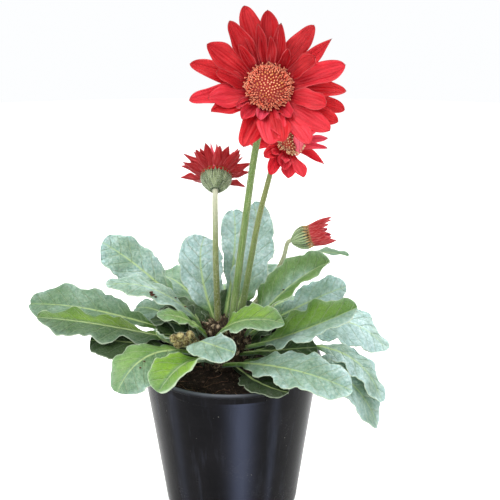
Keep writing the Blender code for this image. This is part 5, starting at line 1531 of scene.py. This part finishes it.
def build_young_buds(finish, wool_finish):
    """A forked stalk with a woolly folded knob on each end."""
    foot = crown_point(YOUNG_BUD_SIDE, YOUNG_BUD_UP)
    outward = off_crown(foot, 0.003)
    fork = foot + outward * 0.008
    build = Build()
    build.tube([foot - outward * 0.004, foot + outward * 0.002, fork], [0.0019] * 3, 14)
    sides, rows = 18, np.linspace(0.08, np.pi - 0.06, 13)
    angle = round_angles(sides)
    for k, (centre, radius) in enumerate(YOUNG_BUDS):
        centre = np.array(centre)
        way = [fork - outward * 0.003 + (centre - fork + outward * 0.003) * t for t in np.linspace(0, 1, 6)]
        build.tube(way, [0.0014] * 6, 10)
        tilt = unit(centre - fork + np.array([0, 0, 0.006]))
        side = unit(np.cross(tilt, [0.3, 0.9, 0.1]))
        other = np.cross(tilt, side)
        points = []
        for a in rows:
            ring = radius * math.sin(a) * (1 + 0.07 * np.cos(7 * angle + k + 1.5 * a))
            points.append(centre - tilt * radius * 1.12 * math.cos(a) + side * (ring * np.cos(angle))[:, None]
                          + other * (ring * np.sin(angle))[:, None])
        build.add(np.concatenate(points), capped_faces(len(rows), sides))
    buds = build.finish("young_bud_knobs", finish)
    wool = grown(buds, hair_tree(wool_finish), {
        "Density": 1500000.0, "Length": 0.0011, "Thickness": 0.00009, "Lean": (0.0, 0.0, 0.5),
        "Scatter": 0.7, "Seed": 9}, "young_bud_wool")
    place(buds, "bud_wool", "young_buds")
    place(wool, "bud_wool")


# Room
def build_stage():
    """White floor and a light sky, brighter behind the plant."""
    finish, _, shader = surface("floor_white", 0.85, Specular_IOR_Level=0.1, Emission_Strength=0.5)
    shader.inputs["Base Color"].default_value = (0.90, 0.90, 0.90, 1.0)
    shader.inputs["Emission Color"].default_value = (1.0, 1.0, 1.0, 1.0)
    bpy.ops.mesh.primitive_circle_add(vertices=96, radius=3.0, fill_type="NGON")
    floor = bpy.context.active_object
    floor.name = "floor"
    floor.data.materials.append(finish)
    world = bpy.data.worlds.new("studio")
    bpy.context.scene.world = world
    world.use_nodes = True
    t, sky = Tree(world.node_tree), world.node_tree.nodes["Background"]
    split = t.node("ShaderNodeSeparateXYZ", t.node("ShaderNodeTexCoord").outputs["Generated"])
    behind = t.step(split.outputs["Y"], -0.6, 0.5, 0.32, 1.0)
    above = t.step(split.outputs["Z"], 0.15, 0.9, 1.0, 0.8)
    sky.inputs["Color"].default_value = (0.98, 0.99, 1.0, 1.0)
    t.fill(sky.inputs["Strength"], t.times(behind, above))


# Lights: place, width, height, power and colour
LIGHTS = {
    "key": ((-0.75, -0.75, 1.15), 0.9, 0.9, 12.0, (1.0, 0.99, 0.97)),
    "top": ((0.15, 0.25, 1.5), 1.2, 1.2, 16.0, (1.0, 1.0, 1.0)),
    "back": ((0.8, 1.1, 0.75), 0.8, 0.8, 16.0, (1.0, 0.99, 0.96)),
    "front": ((0.15, -1.30, 0.60), 1.0, 0.7, 6.0, (0.94, 0.97, 1.0)),
}
LIT_POINT = (0.0, 0.0, 0.18)


def add_lights():
    for name, (spot, width, height, power, colour) in LIGHTS.items():
        lamp = bpy.data.lights.new(name, "AREA")
        lamp.shape, lamp.size, lamp.size_y, lamp.energy, lamp.color = "RECTANGLE", width, height, power, colour
        holder = new_object(name, lamp)
        holder.location = spot
        holder.rotation_euler = (Vector(LIT_POINT) - Vector(spot)).to_track_quat("-Z", "Y").to_euler()


def add_camera():
    lens = bpy.data.cameras.new("camera")
    lens.lens, lens.sensor_width, lens.sensor_fit = CAMERA_LENS, 36.0, "HORIZONTAL"
    lens.clip_start = 0.01
    holder = new_object("camera", lens)
    holder.location = CAMERA_PLACE
    holder.rotation_euler = (math.radians(90 - CAMERA_TILT), 0.0, 0.0)
    bpy.context.scene.camera = holder


HAIR_THICK = 0.00006
# What makes each head: its finishes, how far its bracts lean and reach, and its hair
Looks = namedtuple("Looks", "stalk petals bracts disc lean past density length")


def head_looks():
    """Finishes and numbers of the four heads."""
    streak = (226, 96, 100)
    red = petal_surface("petal_red", (210, 28, 38), (152, 10, 20), (202, 34, 40), streak, 0.16)
    bright = petal_surface("petal_bright", (240, 32, 50), (178, 10, 24), (146, 12, 20), streak, 0.20)
    rosy = petal_surface("petal_bud", (200, 34, 44), (140, 12, 22), (170, 30, 36), (250, 168, 160), 0.10)
    wool = bract_surface("bract_wool", (66, 84, 50), (132, 146, 108), (124, 122, 66))
    striped = bract_surface("bract_striped", (84, 112, 58), (160, 184, 134), (222, 172, 104))
    return {
        "main": Looks(
            stalk_surface("stalk_main", (98, 128, 62), (94, 124, 56), 0.30), red, wool,
            floret_surface("disc_main", (255, 160, 122), (244, 104, 74), (156, 36, 22), (246, 166, 60)),
            36, 1.2, 1500000.0, 0.0012),
        "rear": Looks(
            stalk_surface("stalk_rear", (112, 136, 72), (122, 134, 72), 0.30), bright, wool,
            floret_surface("disc_rear", (252, 232, 176), (244, 204, 150), (170, 70, 50), (236, 214, 130)),
            26, 1.2, 1200000.0, 0.0011),
        "left": Looks(
            stalk_surface("stalk_left", (104, 112, 50), (130, 144, 92), 0.60, (204, 208, 184)), bright, wool,
            floret_surface("disc_left", (255, 150, 108), (244, 96, 64), (158, 34, 20), (246, 166, 60)),
            76, 1.08, 1500000.0, 0.0012),
        "bud": Looks(
            stalk_surface("stalk_bud", (150, 158, 116), (176, 182, 150), 0.60), rosy, striped, None,
            84, 1.12, 1500000.0, 0.0010),
    }


def build_heads():
    """Stalk, cup, petals and disc of the four heads."""
    hair, looks = hair_tree(hair_surface("stalk_hair", (214, 220, 196))), head_looks()
    for k, (name, look) in enumerate(looks.items()):
        stalk = build_scape(name, look.stalk)
        width, past = HEADS[name].cup_radius * 0.105, look.past
        rows = [(18, 0.12, 0.62, width), (22, 0.26, 0.86, width * 0.95), (26, 0.42, past - 0.10, width * 0.9),
                (26, 0.56, past, width * 0.8)]
        if name == "bud":
            rows = [(26, 0.04, past, width * 0.95), (20, 0.0, past - 0.08, width * 0.9)]
        cup, leaves = build_cup(name, look.bracts, rows, look.lean, 30 + k)
        values = {"Density": look.density, "Length": look.length, "Thickness": HAIR_THICK,
                  "Lean": (0.0, 0.0, 0.2), "Scatter": 0.45, "Seed": 20 + k}
        down = grown(stalk, hair, values, "down_stalk_" + name)
        values.update({"Density": look.density * 0.6, "Seed": 40 + k})
        down_cup = grown(leaves, hair, values, "down_cup_" + name)
        place(joined("stalk_" + name, [stalk, cup, leaves]), "stalk_green", "scape_" + name)
        place(joined("down_" + name, [down, down_cup]), "stalk_green")
    draw = np.random.default_rng(11)
    left_inner = [even_rays(9, 0.0145, 0.0030, 56, 50, 5, 14, draw),
                  even_rays(19, 0.0185, 0.0027, 40, 34, 6, 5, draw)]
    groups = {"main": [MAIN_RAYS, MAIN_INNER_RAYS], "rear": [REAR_RAYS, REAR_INNER_RAYS],
              "left": [LEFT_RAYS, *left_inner], "bud": [BUD_RAYS]}
    for k, (name, rays) in enumerate(groups.items()):
        build_rays(name, rays, looks[name].petals, 51 + k)
    # Disc of each head: count of florets, size at the rim and in the heart, share that the heart takes
    discs = {"main": (330, (0.00128, 0.00128), 0.34), "rear": (130, (0.00115, 0.0011), 0.40),
             "left": (140, (0.00125, 0.0012), 0.40)}
    for k, (name, numbers) in enumerate(discs.items()):
        build_disc(name, looks[name].disc, *numbers, 61 + k)


def main():
    leaf_finish = leaf_surface()
    build_leaves(leaf_finish)
    build_heads()
    build_pot(plastic_surface())
    build_soil(mix_surface("peat", (26, 20, 16), (52, 40, 32)),
               mix_surface("peat_crumbs", (20, 16, 14), (104, 84, 74)),
               mix_surface("root_red", (84, 58, 46), (150, 116, 92), 0.7))
    build_crown(mix_surface("bark", (26, 20, 15), (62, 50, 36), 0.9),
                mix_surface("fibre", (66, 54, 40), (160, 144, 110), 0.85),
                mix_surface("scrap", (46, 36, 30), (196, 176, 146), 0.85))
    build_old_leaves(leaf_finish, mix_surface("litter", (58, 34, 28), (120, 80, 62), 0.85))
    build_young_buds(mix_surface("bud_tan", (98, 84, 48), (212, 200, 140), 0.9),
                     hair_surface("wool", (226, 218, 180)))
    build_stage()
    add_lights()
    add_camera()
    bpy.context.scene.view_settings.view_transform = "Standard"


main()
